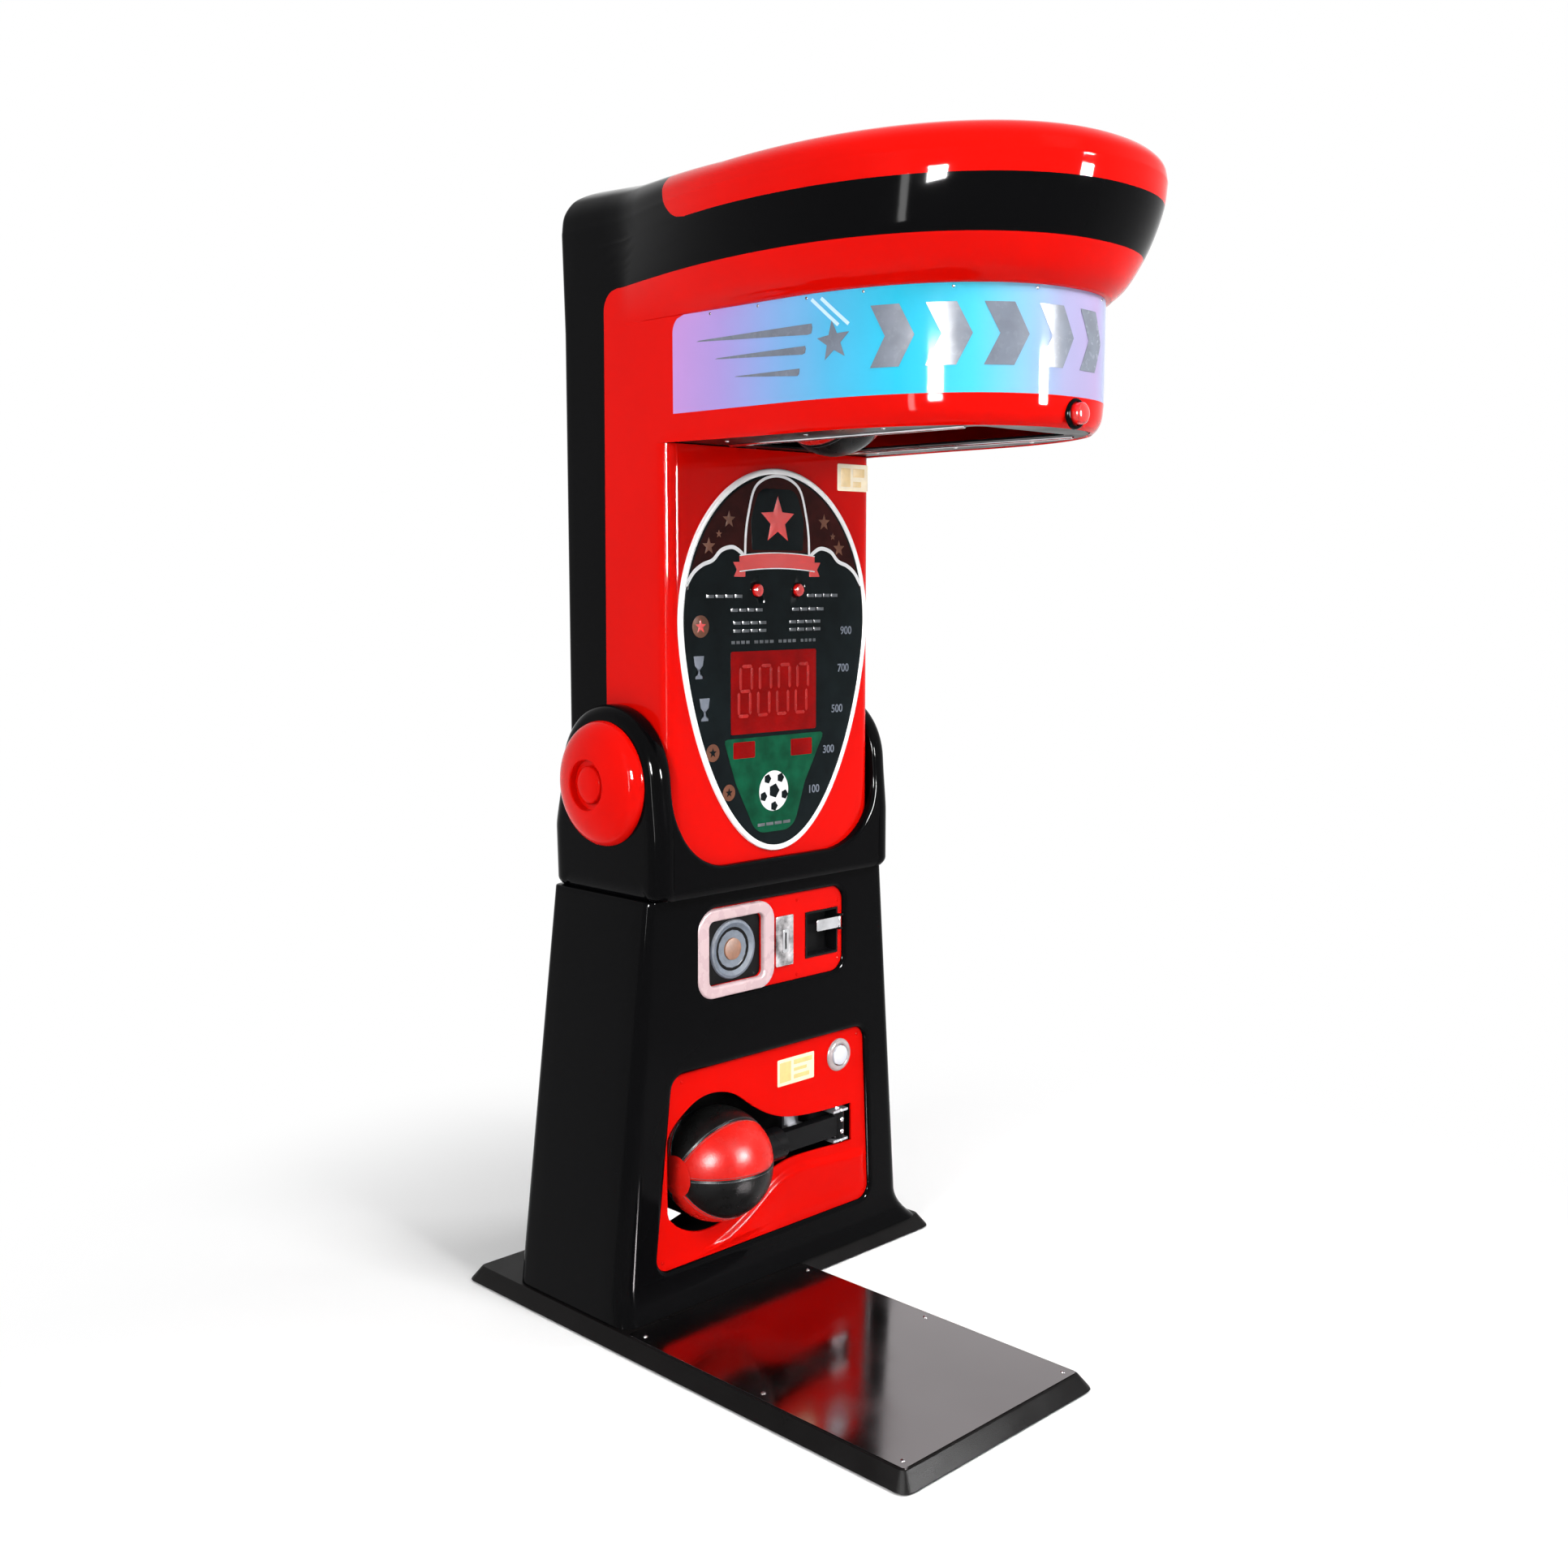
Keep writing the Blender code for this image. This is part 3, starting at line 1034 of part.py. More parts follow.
def make_punch():
    """Axle, bearings, folded arm and ball, magnet, bumper and speed sensor."""
    half = POST_SIZE / 2
    under = BEAM_Z - half - GAP
    inside = POST_X - half
    bore = rod("axle_bore", (0, AXLE_Y, AXLE_Z), "X", AXLE_RADIUS + RUN, 1, "cutter", 20)
    for name, side in (("left", -1), ("right", 1)):
        low = (min(side * inside, side * (inside + POST_SIZE)), AXLE_Y - 0.025, AXLE_Z - 0.025)
        high = (max(side * inside, side * (inside + POST_SIZE)), AXLE_Y + 0.025, under)
        combine(box("axle_bearing_" + name, low, high, "steel"), bore)
    axle = rod("punch_axle", (0, AXLE_Y, AXLE_Z), "X", AXLE_RADIUS, 2 * inside + POST_SIZE * 1.6, "chrome", 20)
    hub_radius, hub_length = PUNCH_HUB
    arm = rod("punch_arm", (0, AXLE_Y, AXLE_Z), "X", hub_radius, hub_length, "steel", 20)
    ball_y = AXLE_Y + PUNCH_REACH
    end = ball_y - PUNCH_BALL_RADIUS - GAP
    tube = rod("punch_tube", (0, (AXLE_Y + 0.014 + end) / 2, AXLE_Z), "Y", PUNCH_TUBE, end - AXLE_Y - 0.014,
               "cutter")
    pad = box("armature", (-0.022, MAGNET_Y - 0.025, AXLE_Z), (0.022, MAGNET_Y + 0.025, AXLE_Z + PUNCH_TUBE + 0.006),
              "cutter")
    weld(arm, tube, pad)
    combine(arm, bore)
    bag = ball("punch_ball", (0, ball_y, AXLE_Z), PUNCH_BALL_RADIUS, "leather")
    bag.rotation_euler = AXES["Y"]
    disc_x = -0.086
    disc = rod("encoder_disc", (disc_x, AXLE_Y, AXLE_Z), "X", ENCODER_RADIUS, 0.003, "black", 24)
    combine(disc, bore)
    pivot("punch_axis", (0, AXLE_Y, AXLE_Z), axle, arm, bag, disc)
    magnet_low = AXLE_Z + PUNCH_TUBE + 0.006 + GAP
    rod("holding_magnet", (0, MAGNET_Y, (magnet_low + under) / 2), "Z", 0.022, under - magnet_low, "steel")
    bumper_low = AXLE_Z + PUNCH_TUBE + GAP
    bumper_top = DROP_Z - half - GAP
    rod("punch_bumper", (0, BUMPER_Y, (bumper_low + bumper_top) / 2), "Z", 0.020, bumper_top - bumper_low,
        "rubber")
    box("speed_sensor", (-inside + GAP, AXLE_Y - 0.010, AXLE_Z + ENCODER_RADIUS + 0.004),
        (disc_x + 0.004, AXLE_Y + 0.010, AXLE_Z + ENCODER_RADIUS + 0.016), "board")


make_base()
make_lower_body()
make_rear()
make_coin_panel()
make_kick_panel()
make_kick_arm()
make_yoke()
make_hubs()
make_upper_shells()
make_head_fittings()
make_display()
make_frame()
make_electrics()
make_punch()
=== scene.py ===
"""Looks of a boxing punch machine with a folding punch ball and a swing-out kick ball.

Shells are sheets of points worked out on grids, laid over the CAD frame. Sizes
are read sideways from the column's centre line and back from its front face,
in metres, and put() moves them to the frame.
"""

import bmesh
import bpy
import numpy as np
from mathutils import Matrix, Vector
from numpy import arange, arctan2, array, clip, concatenate as join, cos, hypot, interp, linspace, pi, sin, sqrt


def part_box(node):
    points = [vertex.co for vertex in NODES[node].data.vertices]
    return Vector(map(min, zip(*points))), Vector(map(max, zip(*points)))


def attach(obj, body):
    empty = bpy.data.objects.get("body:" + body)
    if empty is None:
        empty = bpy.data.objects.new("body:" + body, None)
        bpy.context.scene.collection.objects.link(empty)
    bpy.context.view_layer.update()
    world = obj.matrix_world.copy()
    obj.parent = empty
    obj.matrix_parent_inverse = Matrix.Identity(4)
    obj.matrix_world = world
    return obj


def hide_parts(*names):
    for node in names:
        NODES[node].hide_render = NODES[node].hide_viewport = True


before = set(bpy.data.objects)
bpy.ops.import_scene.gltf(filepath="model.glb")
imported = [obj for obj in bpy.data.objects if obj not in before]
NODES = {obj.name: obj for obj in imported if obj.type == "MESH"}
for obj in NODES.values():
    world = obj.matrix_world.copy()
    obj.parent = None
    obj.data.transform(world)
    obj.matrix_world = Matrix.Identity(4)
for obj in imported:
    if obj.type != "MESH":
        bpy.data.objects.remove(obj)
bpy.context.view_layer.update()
GAP = 0.0003
WALL = 0.005
PRINT_WALL = 0.0003
MIRROR = array((-1.0, 1.0))
FORWARD = (0, -1, 0)
ring_low, ring_high = (array(corner, float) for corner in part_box("display_ring"))
ORIGIN = array(((ring_low[0] + ring_high[0]) / 2, ring_high[1] + GAP, 0.0))


def local(node):
    """A CAD node's lowest and highest corners, read from the column."""
    low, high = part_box(node)
    return array(low, float) - ORIGIN, array(high, float) - ORIGIN


# ---- finishes
def fill(tree, node, inputs):
    """Set a shader node's inputs: a value is written on the socket, and another node's output is linked."""
    for key, value in inputs.items():
        if isinstance(value, bpy.types.NodeSocket):
            tree.links.new(value, node.inputs[key])
        else:
            node.inputs[key].default_value = value
    return node


def add(tree, kind, inputs, output=0):
    """A new shader node with its inputs set, and one of its outputs."""
    return fill(tree, tree.nodes.new("ShaderNode" + kind), inputs).outputs[output]


def finish(name, colour, rough, cloud, cloud_size, grain, depth, ior, metal=0.0, coat=0.0, smudge=0.2,
           stretch=(1, 1, 1)):
    """A shader whose colour drifts in soft clouds, whose gloss is smudged and whose face has a fine grain."""
    material = bpy.data.materials.new(name)
    material.use_nodes = True
    tree = material.node_tree
    place = add(tree, "Mapping", {"Scale": stretch, "Vector": add(tree, "TexCoord", {}, "Object")})

    def noise(scale, detail=3.0):
        return add(tree, "TexNoise", {"Scale": scale, "Detail": detail, "Vector": place}, "Fac")

    def spread(value, low, high):
        return add(tree, "MapRange", {"From Min": 0.3, "From Max": 0.7, "To Min": low, "To Max": high, "Value": value})

    fill(tree, tree.nodes["Principled BSDF"], {
        "Metallic": metal, "Coat Weight": coat, "Coat Roughness": 0.04, "IOR": ior,
        "Base Color": add(tree, "HueSaturation", {"Color": (*colour, 1),
                                                  "Value": spread(noise(cloud_size), 1 - cloud, 1 + cloud)}),
        "Roughness": spread(noise(cloud_size * 3.1, 5), rough * (1 - smudge), rough * (1 + smudge)),
        "Normal": add(tree, "Bump", {"Strength": depth, "Distance": 0.001, "Height": noise(grain, 4)})})
    return material


RED = (0.6, 0.0025, 0.0008)
FINISHES = (
    # name, the record's slot, colour, roughness, cloud and its size, grain and its depth, index, and the rest
    ("red_gelcoat", "red_moulding", RED, 0.05, 0.03, 5, 60, 0.008, 1.14),
    ("red_satin", "red_sheet", RED, 0.18, 0.03, 5, 60, 0.008, 1.085),
    ("black_gelcoat", "black_moulding", (0.0016, 0.0016, 0.0019), 0.07, 0.05, 5, 60, 0.01, 1.115),
    ("black_satin", "black_sheet", (0.0035, 0.0035, 0.004), 0.32, 0.12, 5, 500, 0.08, 1.16),
    ("powder_black", "black_sheet", (0.0035, 0.003, 0.003), 0.34, 0.15, 5, 900, 0.35, 1.14),
    ("tread_steel", "steel", (0.22, 0.2, 0.205), 0.13, 0.06, 2.5, 240, 0.015, 1.45, dict(metal=1, smudge=0.35)),
    ("brushed_steel", "steel", (0.42, 0.42, 0.44), 0.36, 0.05, 5, 300, 0.25, 1.45, dict(metal=1, stretch=(12, 1, 1))),
    ("galvanised", "steel", (0.45, 0.46, 0.48), 0.42, 0.2, 40, 700, 0.15, 1.45, dict(metal=1)),
    ("chrome", "chrome", (0.66, 0.66, 0.68), 0.08, 0.15, 30, 700, 0.02, 1.45, dict(metal=1, smudge=0.6)),
    # the crinkled chrome's strong colour clouds are painted reflections: light and dark patches stand in for a dark
    # studio mirrored in its crinkles
    ("crinkled_chrome", "chrome", (0.52, 0.5, 0.51), 0.12, 0.85, 34, 42, 1, 1.45, dict(metal=1)),
    ("black_rubber", "rubber", (0.02, 0.02, 0.02), 0.75, 0.2, 5, 600, 0.5, 1.45),
    ("red_leather", "ball_leather", (0.6, 0.01, 0.006), 0.26, 0.1, 14, 420, 0.4, 1.22),
    ("black_leather", "ball_leather", (0.004, 0.004, 0.004), 0.3, 0.2, 14, 420, 0.4, 1.2),
    ("white_moulding", "white_plastic", (0.86, 0.86, 0.86), 0.28, 0.03, 5, 300, 0.05, 1.45),
    ("blush_moulding", "white_plastic", (0.52, 0.37, 0.385), 0.28, 0.05, 12, 300, 0.06, 1.45),
    ("printed_black", "dark_glass", (0.004, 0.007, 0.008), 0.1, 0.25, 18, 60, 0.01, 1.14),
    ("printed_maroon", "dark_glass", (0.028, 0.004, 0.003), 0.12, 0.35, 22, 700, 0.01, 1.14),
    ("printed_green", "dark_glass", (0.003, 0.065, 0.03), 0.14, 0.35, 26, 700, 0.01, 1.14),
    ("printed_white", "white_plastic", (0.78, 0.78, 0.8), 0.2, 0.04, 5, 700, 0.02, 1.45, dict(coat=0.4)),
    ("printed_grey", "white_plastic", (0.15, 0.17, 0.21), 0.25, 0.1, 30, 700, 0.02, 1.25),
    ("printed_dim", "white_plastic", (0.1, 0.11, 0.12), 0.2, 0.25, 40, 700, 0.02, 1.25),
    ("printed_copper", "red_sheet", (0.14, 0.05, 0.026), 0.2, 0.25, 30, 700, 0.02, 1.25),
    ("printed_red", "red_sheet", (0.62, 0.015, 0.012), 0.2, 0.1, 5, 700, 0.02, 1.45, dict(coat=0.4)),
    ("led_window", "dark_glass", (0.22, 0.001, 0.001), 0.12, 0.2, 24, 700, 0.01, 1.14),
    ("led_unlit", "dark_glass", (0.34, 0.01, 0.008), 0.25, 0.2, 40, 700, 0.02, 1.2),
    ("cream_label", "white_plastic", (0.83, 0.7, 0.46), 0.45, 0.06, 60, 900, 0.1, 1.45),
    ("label_print", "white_plastic", (0.74, 0.5, 0.16), 0.45, 0.08, 60, 700, 0.08, 1.45),
    ("speaker_cloth", "black_sheet", (0.075, 0.1, 0.14), 0.6, 0.2, 60, 1500, 0.6, 1.45),
    ("speaker_cone", "black_sheet", (0.22, 0.085, 0.035), 0.5, 0.25, 50, 900, 0.4, 1.45),
    ("board_green", "circuit_board", (0.02, 0.12, 0.05), 0.4, 0.3, 60, 400, 0.3, 1.45),
    ("clear_ring", "chrome", (0.36, 0.31, 0.31), 0.18, 0.2, 50, 200, 0.05, 1.45),
    ("lens_white", "white_plastic", (0.62, 0.64, 0.7), 0.15, 0.04, 5, 200, 0.05, 1.45),
    ("button_red", "button_red", (0.6, 0.006, 0.005), 0.12, 0.08, 5, 700, 0.01, 1.45, dict(coat=0.6)),
    ("pale_blue_print", "lens", (0.45, 0.66, 0.85), 0.22, 0.05, 5, 700, 0.02, 1.45, dict(coat=0.4)),
    ("lit_acrylic", "lens", (0.3, 0.5, 0.8), 0.07, 0.03, 5, 700, 0.01, 1.16),
)
LOOKS = {name: finish(name, *row[:7], **dict(*row[7:])) for name, slot, *row in FINISHES}


def light_the_acrylic(tree):
    """Backlit acrylic: a colour run along the sheet's own length, with a faint glow of the same colours."""
    along = tree.nodes.new("ShaderNodeUVMap")
    along.uv_map = "surface"
    ramp = tree.nodes.new("ShaderNodeValToRGB")
    fill(tree, ramp, {"Fac": add(tree, "SeparateXYZ", {"Vector": along.outputs["UV"]}, "X")})
    stops = ((0.0, (0.44, 0.24, 0.56)), (0.07, (0.33, 0.25, 0.57)), (0.14, (0.2, 0.32, 0.61)),
             (0.21, (0.07, 0.37, 0.6)), (0.28, (0.02, 0.42, 0.61)), (0.36, (0.06, 0.46, 0.62)),
             (0.42, (0.18, 0.38, 0.54)), (0.48, (0.29, 0.29, 0.46)), (0.54, (0.31, 0.25, 0.42)),
             (0.64, (0.18, 0.38, 0.54)), (0.72, (0.02, 0.42, 0.61)), (0.86, (0.2, 0.32, 0.61)),
             (1.0, (0.44, 0.24, 0.56)))
    for end in (0, -1):
        ramp.color_ramp.elements[end].color = (*stops[end][1], 1)
    for spot, colour in stops[1:-1]:
        ramp.color_ramp.elements.new(spot).color = (*colour, 1)
    tint = next(node for node in tree.nodes if node.bl_idname == "ShaderNodeHueSaturation")
    fill(tree, tint, {"Color": ramp.outputs["Color"]})
    fill(tree, tree.nodes["Principled BSDF"], {"Emission Color": tint.outputs["Color"], "Emission Strength": 0.06})


light_the_acrylic(LOOKS["lit_acrylic"].node_tree)


# ---- points and sheets of points
def at(*parts):
    """Coordinates, stretched to one shape and stacked into points."""
    return np.stack(np.broadcast_arrays(*parts), -1)


def quarter(count):
    """Angles of a quarter turn."""
    return linspace(0, pi / 2, count)


def stood(flat, y):
    """Points of the front plane, x and z, set at depth y."""
    return at(flat[..., 0], y, flat[..., 1])


def unit(vectors):
    """Vectors brought to length one."""
    vectors = np.asarray(vectors, float)
    return vectors / (np.linalg.norm(vectors, axis=-1, keepdims=True) + 1e-12)


def left_of(path):
    """Unit normals of a path: its tangent turned a quarter to the left."""
    tangent = np.gradient(path, axis=0)
    return unit(at(-tangent[:, 1], tangent[:, 0]))


def closed(line):
    """A loop of points with its first point again at its end."""
    return join((line, line[:1]))


def wrapped(points):
    """Rows of points, each with its first point again at its end."""
    return join((points, points[:, :1]), 1)


def way_along(line):
    """How far along a line each of its points is."""
    return join(([0], np.cumsum(np.linalg.norm(np.diff(line, axis=0), axis=1))))


def rays_meet(line, angle):
    """How far from the origin a ray at each angle meets a loop that runs round it."""
    turn, size = arctan2(line[:, 1], line[:, 0]), hypot(line[:, 0], line[:, 1])
    order = np.argsort(turn)
    return interp(angle, turn[order], size[order], period=2 * pi)


def slopes_in(quads):
    """Normals of quads, by the cross product of their diagonals."""
    return np.cross(quads[:, 2] - quads[:, 0], quads[:, 3] - quads[:, 1])


def sheet(points, keep=None, heart=None):
    """A grid of points as quads, turned so that it faces away from heart.

    Quad (i, j) joins points i and i + 1 down with j and j + 1 across. Where the
    areas' normals, summed against the way out from heart, come out negative,
    each quad is listed backwards. keep drops quads by a mask.
    """
    points = np.asarray(points, float)
    rows, cols = points.shape[:2]
    number = arange(rows * cols).reshape(rows, cols)
    quads = at(number[:-1, :-1], number[:-1, 1:], number[1:, 1:], number[1:, :-1])
    quads = quads.reshape(-1, 4) if keep is None else quads[keep]
    flat = points.reshape(-1, 3)
    middle = flat[quads].mean(1)
    if heart is None:
        heart = (0.0, 0.15, float(middle[:, 2].mean()))
    if (slopes_in(flat[quads]) * (middle - np.asarray(heart))).sum() < 0:
        quads = quads[:, ::-1]
    v, u = np.meshgrid(linspace(0, 1, rows), linspace(0, 1, cols), indexing="ij")
    return flat, quads, at(u, v).reshape(-1, 2)


def keep_rims_crisp(mesh):
    """Mark the edges that have one face as sharp, so that a wall's cut edge isn't shaded into its face."""
    edge = np.empty(len(mesh.loops), np.int32)
    mesh.loops.foreach_get("edge_index", edge)
    flags = mesh.attributes.get("sharp_edge") or mesh.attributes.new("sharp_edge", "BOOLEAN", "EDGE")
    sharp = np.empty(len(mesh.edges), bool)
    flags.data.foreach_get("value", sharp)
    flags.data.foreach_set("value", sharp | (np.bincount(edge, minlength=len(sharp)) == 1))


def weld(mesh, reach, flatten=False):
    """Merge points that lie within reach of each other, and take out the edges inside flat faces if asked."""
    bm = bmesh.new()
    bm.from_mesh(mesh)
    bmesh.ops.remove_doubles(bm, verts=bm.verts, dist=reach)
    if flatten:
        bmesh.ops.dissolve_limit(bm, angle_limit=0.01, verts=bm.verts, edges=bm.edges)
    bm.to_mesh(mesh)
    bm.free()


def show(name, data):
    """A new object in the scene that shows a mesh, a curve, a lamp or a camera."""
    obj = bpy.data.objects.new(name, data)
    bpy.context.scene.collection.objects.link(obj)
    return obj


def put(name, sheets, look, stands_for=None, body="machine", wall=0.0, sharp=40, bands=None,
        merge=2e-5):
    """Join sheets into one mesh, weld their meeting edges, and give it a finish and a body to ride on."""
    points, quads, spots, start = [], [], [], 0
    for flat, faces, uv in sheets:
        points.append(flat)
        quads.append(faces + start)
        spots.append(uv)
        start += len(flat)
    points, quads, spots = join(points), join(quads), join(spots)
    mesh = bpy.data.meshes.new(name)
    mesh.vertices.add(len(points))
    mesh.vertices.foreach_set("co", (points + ORIGIN).ravel())
    mesh.loops.add(quads.size)
    mesh.loops.foreach_set("vertex_index", quads.ravel().astype(np.int32))
    mesh.polygons.add(len(quads))
    mesh.polygons.foreach_set("loop_start", arange(0, quads.size, 4, dtype=np.int32))
    if bands is not None:
        mesh.polygons.foreach_set("material_index", bands.astype(np.int32))
    layer = mesh.uv_layers.new(name="surface")
    layer.data.foreach_set("uv", spots[quads.ravel()].ravel())
    mesh.update(calc_edges=True)
    weld(mesh, merge)
    mesh.shade_smooth()
    mesh.set_sharp_from_angle(angle=np.radians(sharp))
    keep_rims_crisp(mesh)
    obj = show(name, mesh)
    looks = (look,) if isinstance(look, str) else look
    for one in looks:
        mesh.materials.append(LOOKS[one])
    if wall:
        solid = obj.modifiers.new("wall", "SOLIDIFY")
        solid.thickness = wall
        solid.offset = -1
    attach(obj, body)
    if stands_for:
        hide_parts(stands_for)
    return obj


# ---- outlines and solids
def soften(corners, radii, count=10):
    """An outline whose corners are arcs: each is swung about the point that lies a radius from both sides."""
    corners = np.asarray(corners, float)
    radii = np.broadcast_to(np.asarray(radii, float), (len(corners),))
    back, ahead = unit(np.roll(corners, 1, 0) - corners), unit(np.roll(corners, -1, 0) - corners)
    half = np.arccos(clip((back * ahead).sum(1), -1, 1)) / 2
    middle = corners + unit(back + ahead) * (radii / sin(half))[:, None]
    first = corners + back * (radii / np.tan(half))[:, None] - middle
    last = corners + ahead * (radii / np.tan(half))[:, None] - middle
    turn = arctan2(first[:, 0] * last[:, 1] - first[:, 1] * last[:, 0], (first * last).sum(1))
    angle = turn[:, None] * linspace(0, 1, count + 1)
    x = middle[:, :1] + first[:, :1] * cos(angle) - first[:, 1:] * sin(angle)
    y = middle[:, 1:] + first[:, :1] * sin(angle) + first[:, 1:] * cos(angle)
    return at(x, y).reshape(-1, 2)


def block(left, right, bottom, top):
    return array(((left, bottom), (right, bottom), (right, top), (left, top)))


def even(line, count):
    """The same loop with its points an equal way apart along it."""
    loop = closed(np.asarray(line, float))
    way = way_along(loop)
    spots = linspace(0, way[-1], count, endpoint=False)
    return at(interp(spots, way, loop[:, 0]), interp(spots, way, loop[:, 1]))


def disc(x, z, radius, count=64):
    """Points of a circle, by cosine and sine."""
    angle = linspace(0, 2 * pi, count, endpoint=False)
    return at(x + radius * cos(angle), z + radius * sin(angle))


def outward(line):
    """Unit normals of a loop: its tangent, from the points on either side, turned a quarter outwards."""
    tangent = np.roll(line, -1, 0) - np.roll(line, 1, 0)
    normal = unit(at(tangent[:, 1], -tangent[:, 0]))
    return normal if ((line - line.mean(0)) * normal).sum() > 0 else -normal


def moulded(line, profile, back, heart):
    """A profile carried round a loop in the front plane: out along the loop's normal, and back in y."""
    profile = array(profile) + (0, back)
    flat = line + outward(line) * profile[:, :1, None]
    return sheet(wrapped(stood(flat, profile[:, 1:])), heart=heart)


def plaque(line, front, back, edge=0.0006, crown=0.0, fill=6):
    """A solid plate: the loop shrunk to its middle in front, over a quarter-round edge, down, and shut behind.

    The face swells by crown times one less the square of the way out.
    """
    centre = line.mean(0)
    normal = outward(line)
    share = linspace(0, 1, fill + 1)
    face = centre + (line - normal * edge - centre) * share[:, None, None]
    turn = quarter(5)[1:]
    rounded = line - normal * (edge * (1 - sin(turn)))[:, None, None]
    rear = centre + (line - centre) * share[::-1, None, None]
    depth = join((front - crown * (1 - share ** 2), front + edge * (1 - cos(turn)), np.full(fill + 1, back)))
    points = stood(join((face, rounded, rear)), depth[:, None])
    return sheet(wrapped(points), heart=(centre[0], (front + back) / 2, centre[1]))


def turned(profile, centre, way, count=64):
    """A profile of radius and height swung round a line through centre, along way."""
    profile, centre, way = np.asarray(profile, float), np.asarray(centre, float), unit(way)
    side = unit(np.cross(way, (0.0, 0.0, 1.0) if abs(way[2]) < 0.9 else (1.0, 0.0, 0.0)))
    angle = linspace(0, 2 * pi, count + 1)
    angle[-1] = 0.0
    ring = cos(angle)[:, None] * side + sin(angle)[:, None] * np.cross(way, side)
    points = centre + profile[:, 0, None, None] * ring + profile[:, 1, None, None] * way
    return sheet(points, heart=centre + way * profile[:, 1].mean())


def pierced(outer, inner, centre, front, back, edge=0.0006, count=720, between=3):
    """A solid plate with a hole: both loops are met by rays from centre, and joined over rounded edges."""
    centre = np.asarray(centre, float)
    angle = linspace(-pi, pi, count, endpoint=False)
    a, b = (rays_meet(even(line, 1600) - centre, angle) for line in (inner, outer))
    turn = quarter(5)
    rows = [(a, back)]
    rows += [(a + edge * (1 - cos(t)), front + edge * (1 - sin(t))) for t in turn]
    rows += [(a + edge + (b - a - 2 * edge) * k, front) for k in linspace(0, 1, between + 2)[1:-1]]
    rows += [(b - edge * (1 - sin(t)), front + edge * (1 - cos(t))) for t in turn]
    rows += [(b, back), (a, back)]
    points = array([at(centre[0] + size * cos(angle), y, centre[1] + size * sin(angle)) for size, y in rows])
    flat, quads, uv = sheet(wrapped(points), heart=(centre[0], back + 5.0, centre[1]))
    in_front = arange(len(quads)) // count == 7
    if slopes_in(flat[quads])[in_front][:, 1].sum() > 0:
        quads = quads[:, ::-1]
    return flat, quads, uv


def spline(knots, count):
    """A smooth run through knots: each stretch is a cubic whose slopes are those of its neighbours' chord."""
    knots = np.asarray(knots, float)
    pad = join((2 * knots[:1] - knots[1:2], knots, 2 * knots[-1:] - knots[-2:-1]))
    spots = linspace(0, len(knots) - 1, count)
    k = np.minimum(spots.astype(int), len(knots) - 2)
    t = (spots - k)[:, None]
    a, b, c, d = pad[k], pad[k + 1], pad[k + 2], pad[k + 3]
    return 0.5 * (2 * b + (c - a) * t + (2 * a - 5 * b + 4 * c - d) * t ** 2 + (3 * b - a - 3 * c + d) * t ** 3)


def screws(name, places, way, radius=0.0045, body="machine", look="chrome"):
    """Pan-head screws: half an ellipse of revolution with a dished socket in its middle."""
    angle = quarter(5)[:-1]
    socket = ((radius * 0.36, radius * 0.42), (radius * 0.3, radius * 0.18), (0.0, radius * 0.14))
    profile = join((at(radius * cos(angle), radius * 0.45 * sin(angle)), socket))
    put(name, [turned(profile, place, way, 12) for place in places], look, body=body)


def cut_through(obj, outline, y_low, y_high):
    """Take a straight hole with that outline out of a piece, along y, and keep the plain result."""
    centre = outline.mean(0)
    flat = centre + (closed(outline) - centre) * array((0.0, 1.0, 1.0, 0.0))[:, None, None]
    points = stood(flat, array((y_low, y_low, y_high, y_high))[:, None])
    tool = put("hole_tool", [sheet(points, heart=(centre[0], (y_low + y_high) / 2, centre[1]))], "chrome")
    cut = obj.modifiers.new("cut", "BOOLEAN")
    cut.object = tool
    cut.solver = "EXACT"
    view = bpy.context.evaluated_depsgraph_get()
    mesh = bpy.data.meshes.new_from_object(obj.evaluated_get(view))
    obj.modifiers.clear()
    obj.data = mesh
    bpy.data.objects.remove(tool, do_unlink=True)


def polished(node, name, look, body, bevel, angle=35):
    """The CAD node's own shape as one welded mesh, its small edges rounded and its broad faces kept flat."""
    mesh = NODES[node].data.copy()
    mesh.name = name
    weld(mesh, 1e-5, flatten=True)
    mesh.materials.clear()
    mesh.materials.append(LOOKS[look])
    mesh.shade_smooth()
    mesh.set_sharp_from_angle(angle=np.radians(angle))
    obj = show(name, mesh)
    soft = obj.modifiers.new("edge", "BEVEL")
    soft.width = bevel
    soft.segments = 3
    soft.limit_method = "ANGLE"
    soft.angle_limit = np.radians(angle)
    soft.harden_normals = True
    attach(obj, body)
    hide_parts(node)


# ---- head and column
SPLIT_FOOT, SPLIT_LOW, SPLIT_HIGH, SPLIT_CORNER = 0.5, 0.188, 0.176, 0.04
HEAD_SIDE, HEAD_REAR, HEAD_MIDDLE, HEAD_POWER, FLARE_START = 0.28, 0.306, -0.3, 2.2, 0.12
REACH, LENS_LOW, LENS_HIGH = 0.7025, local("marquee_lens")[0][2], local("marquee_lens")[1][2]
LIP_LOW = LENS_LOW - 0.05
BAND, CAP = LENS_HIGH + 0.067, LENS_HIGH + 0.15
CAP_REAR, CAP_CORNER = -0.042, 0.08
CORNER, FRONT_CORNER = 0.018, 0.03
COLUMN_SIDE, COLUMN_REAR = 0.28, 0.306
COLUMN_LOW = local("upper_body_shell")[0][2]
LENS_EDGE, LENS_CORNER = -0.018, 0.03
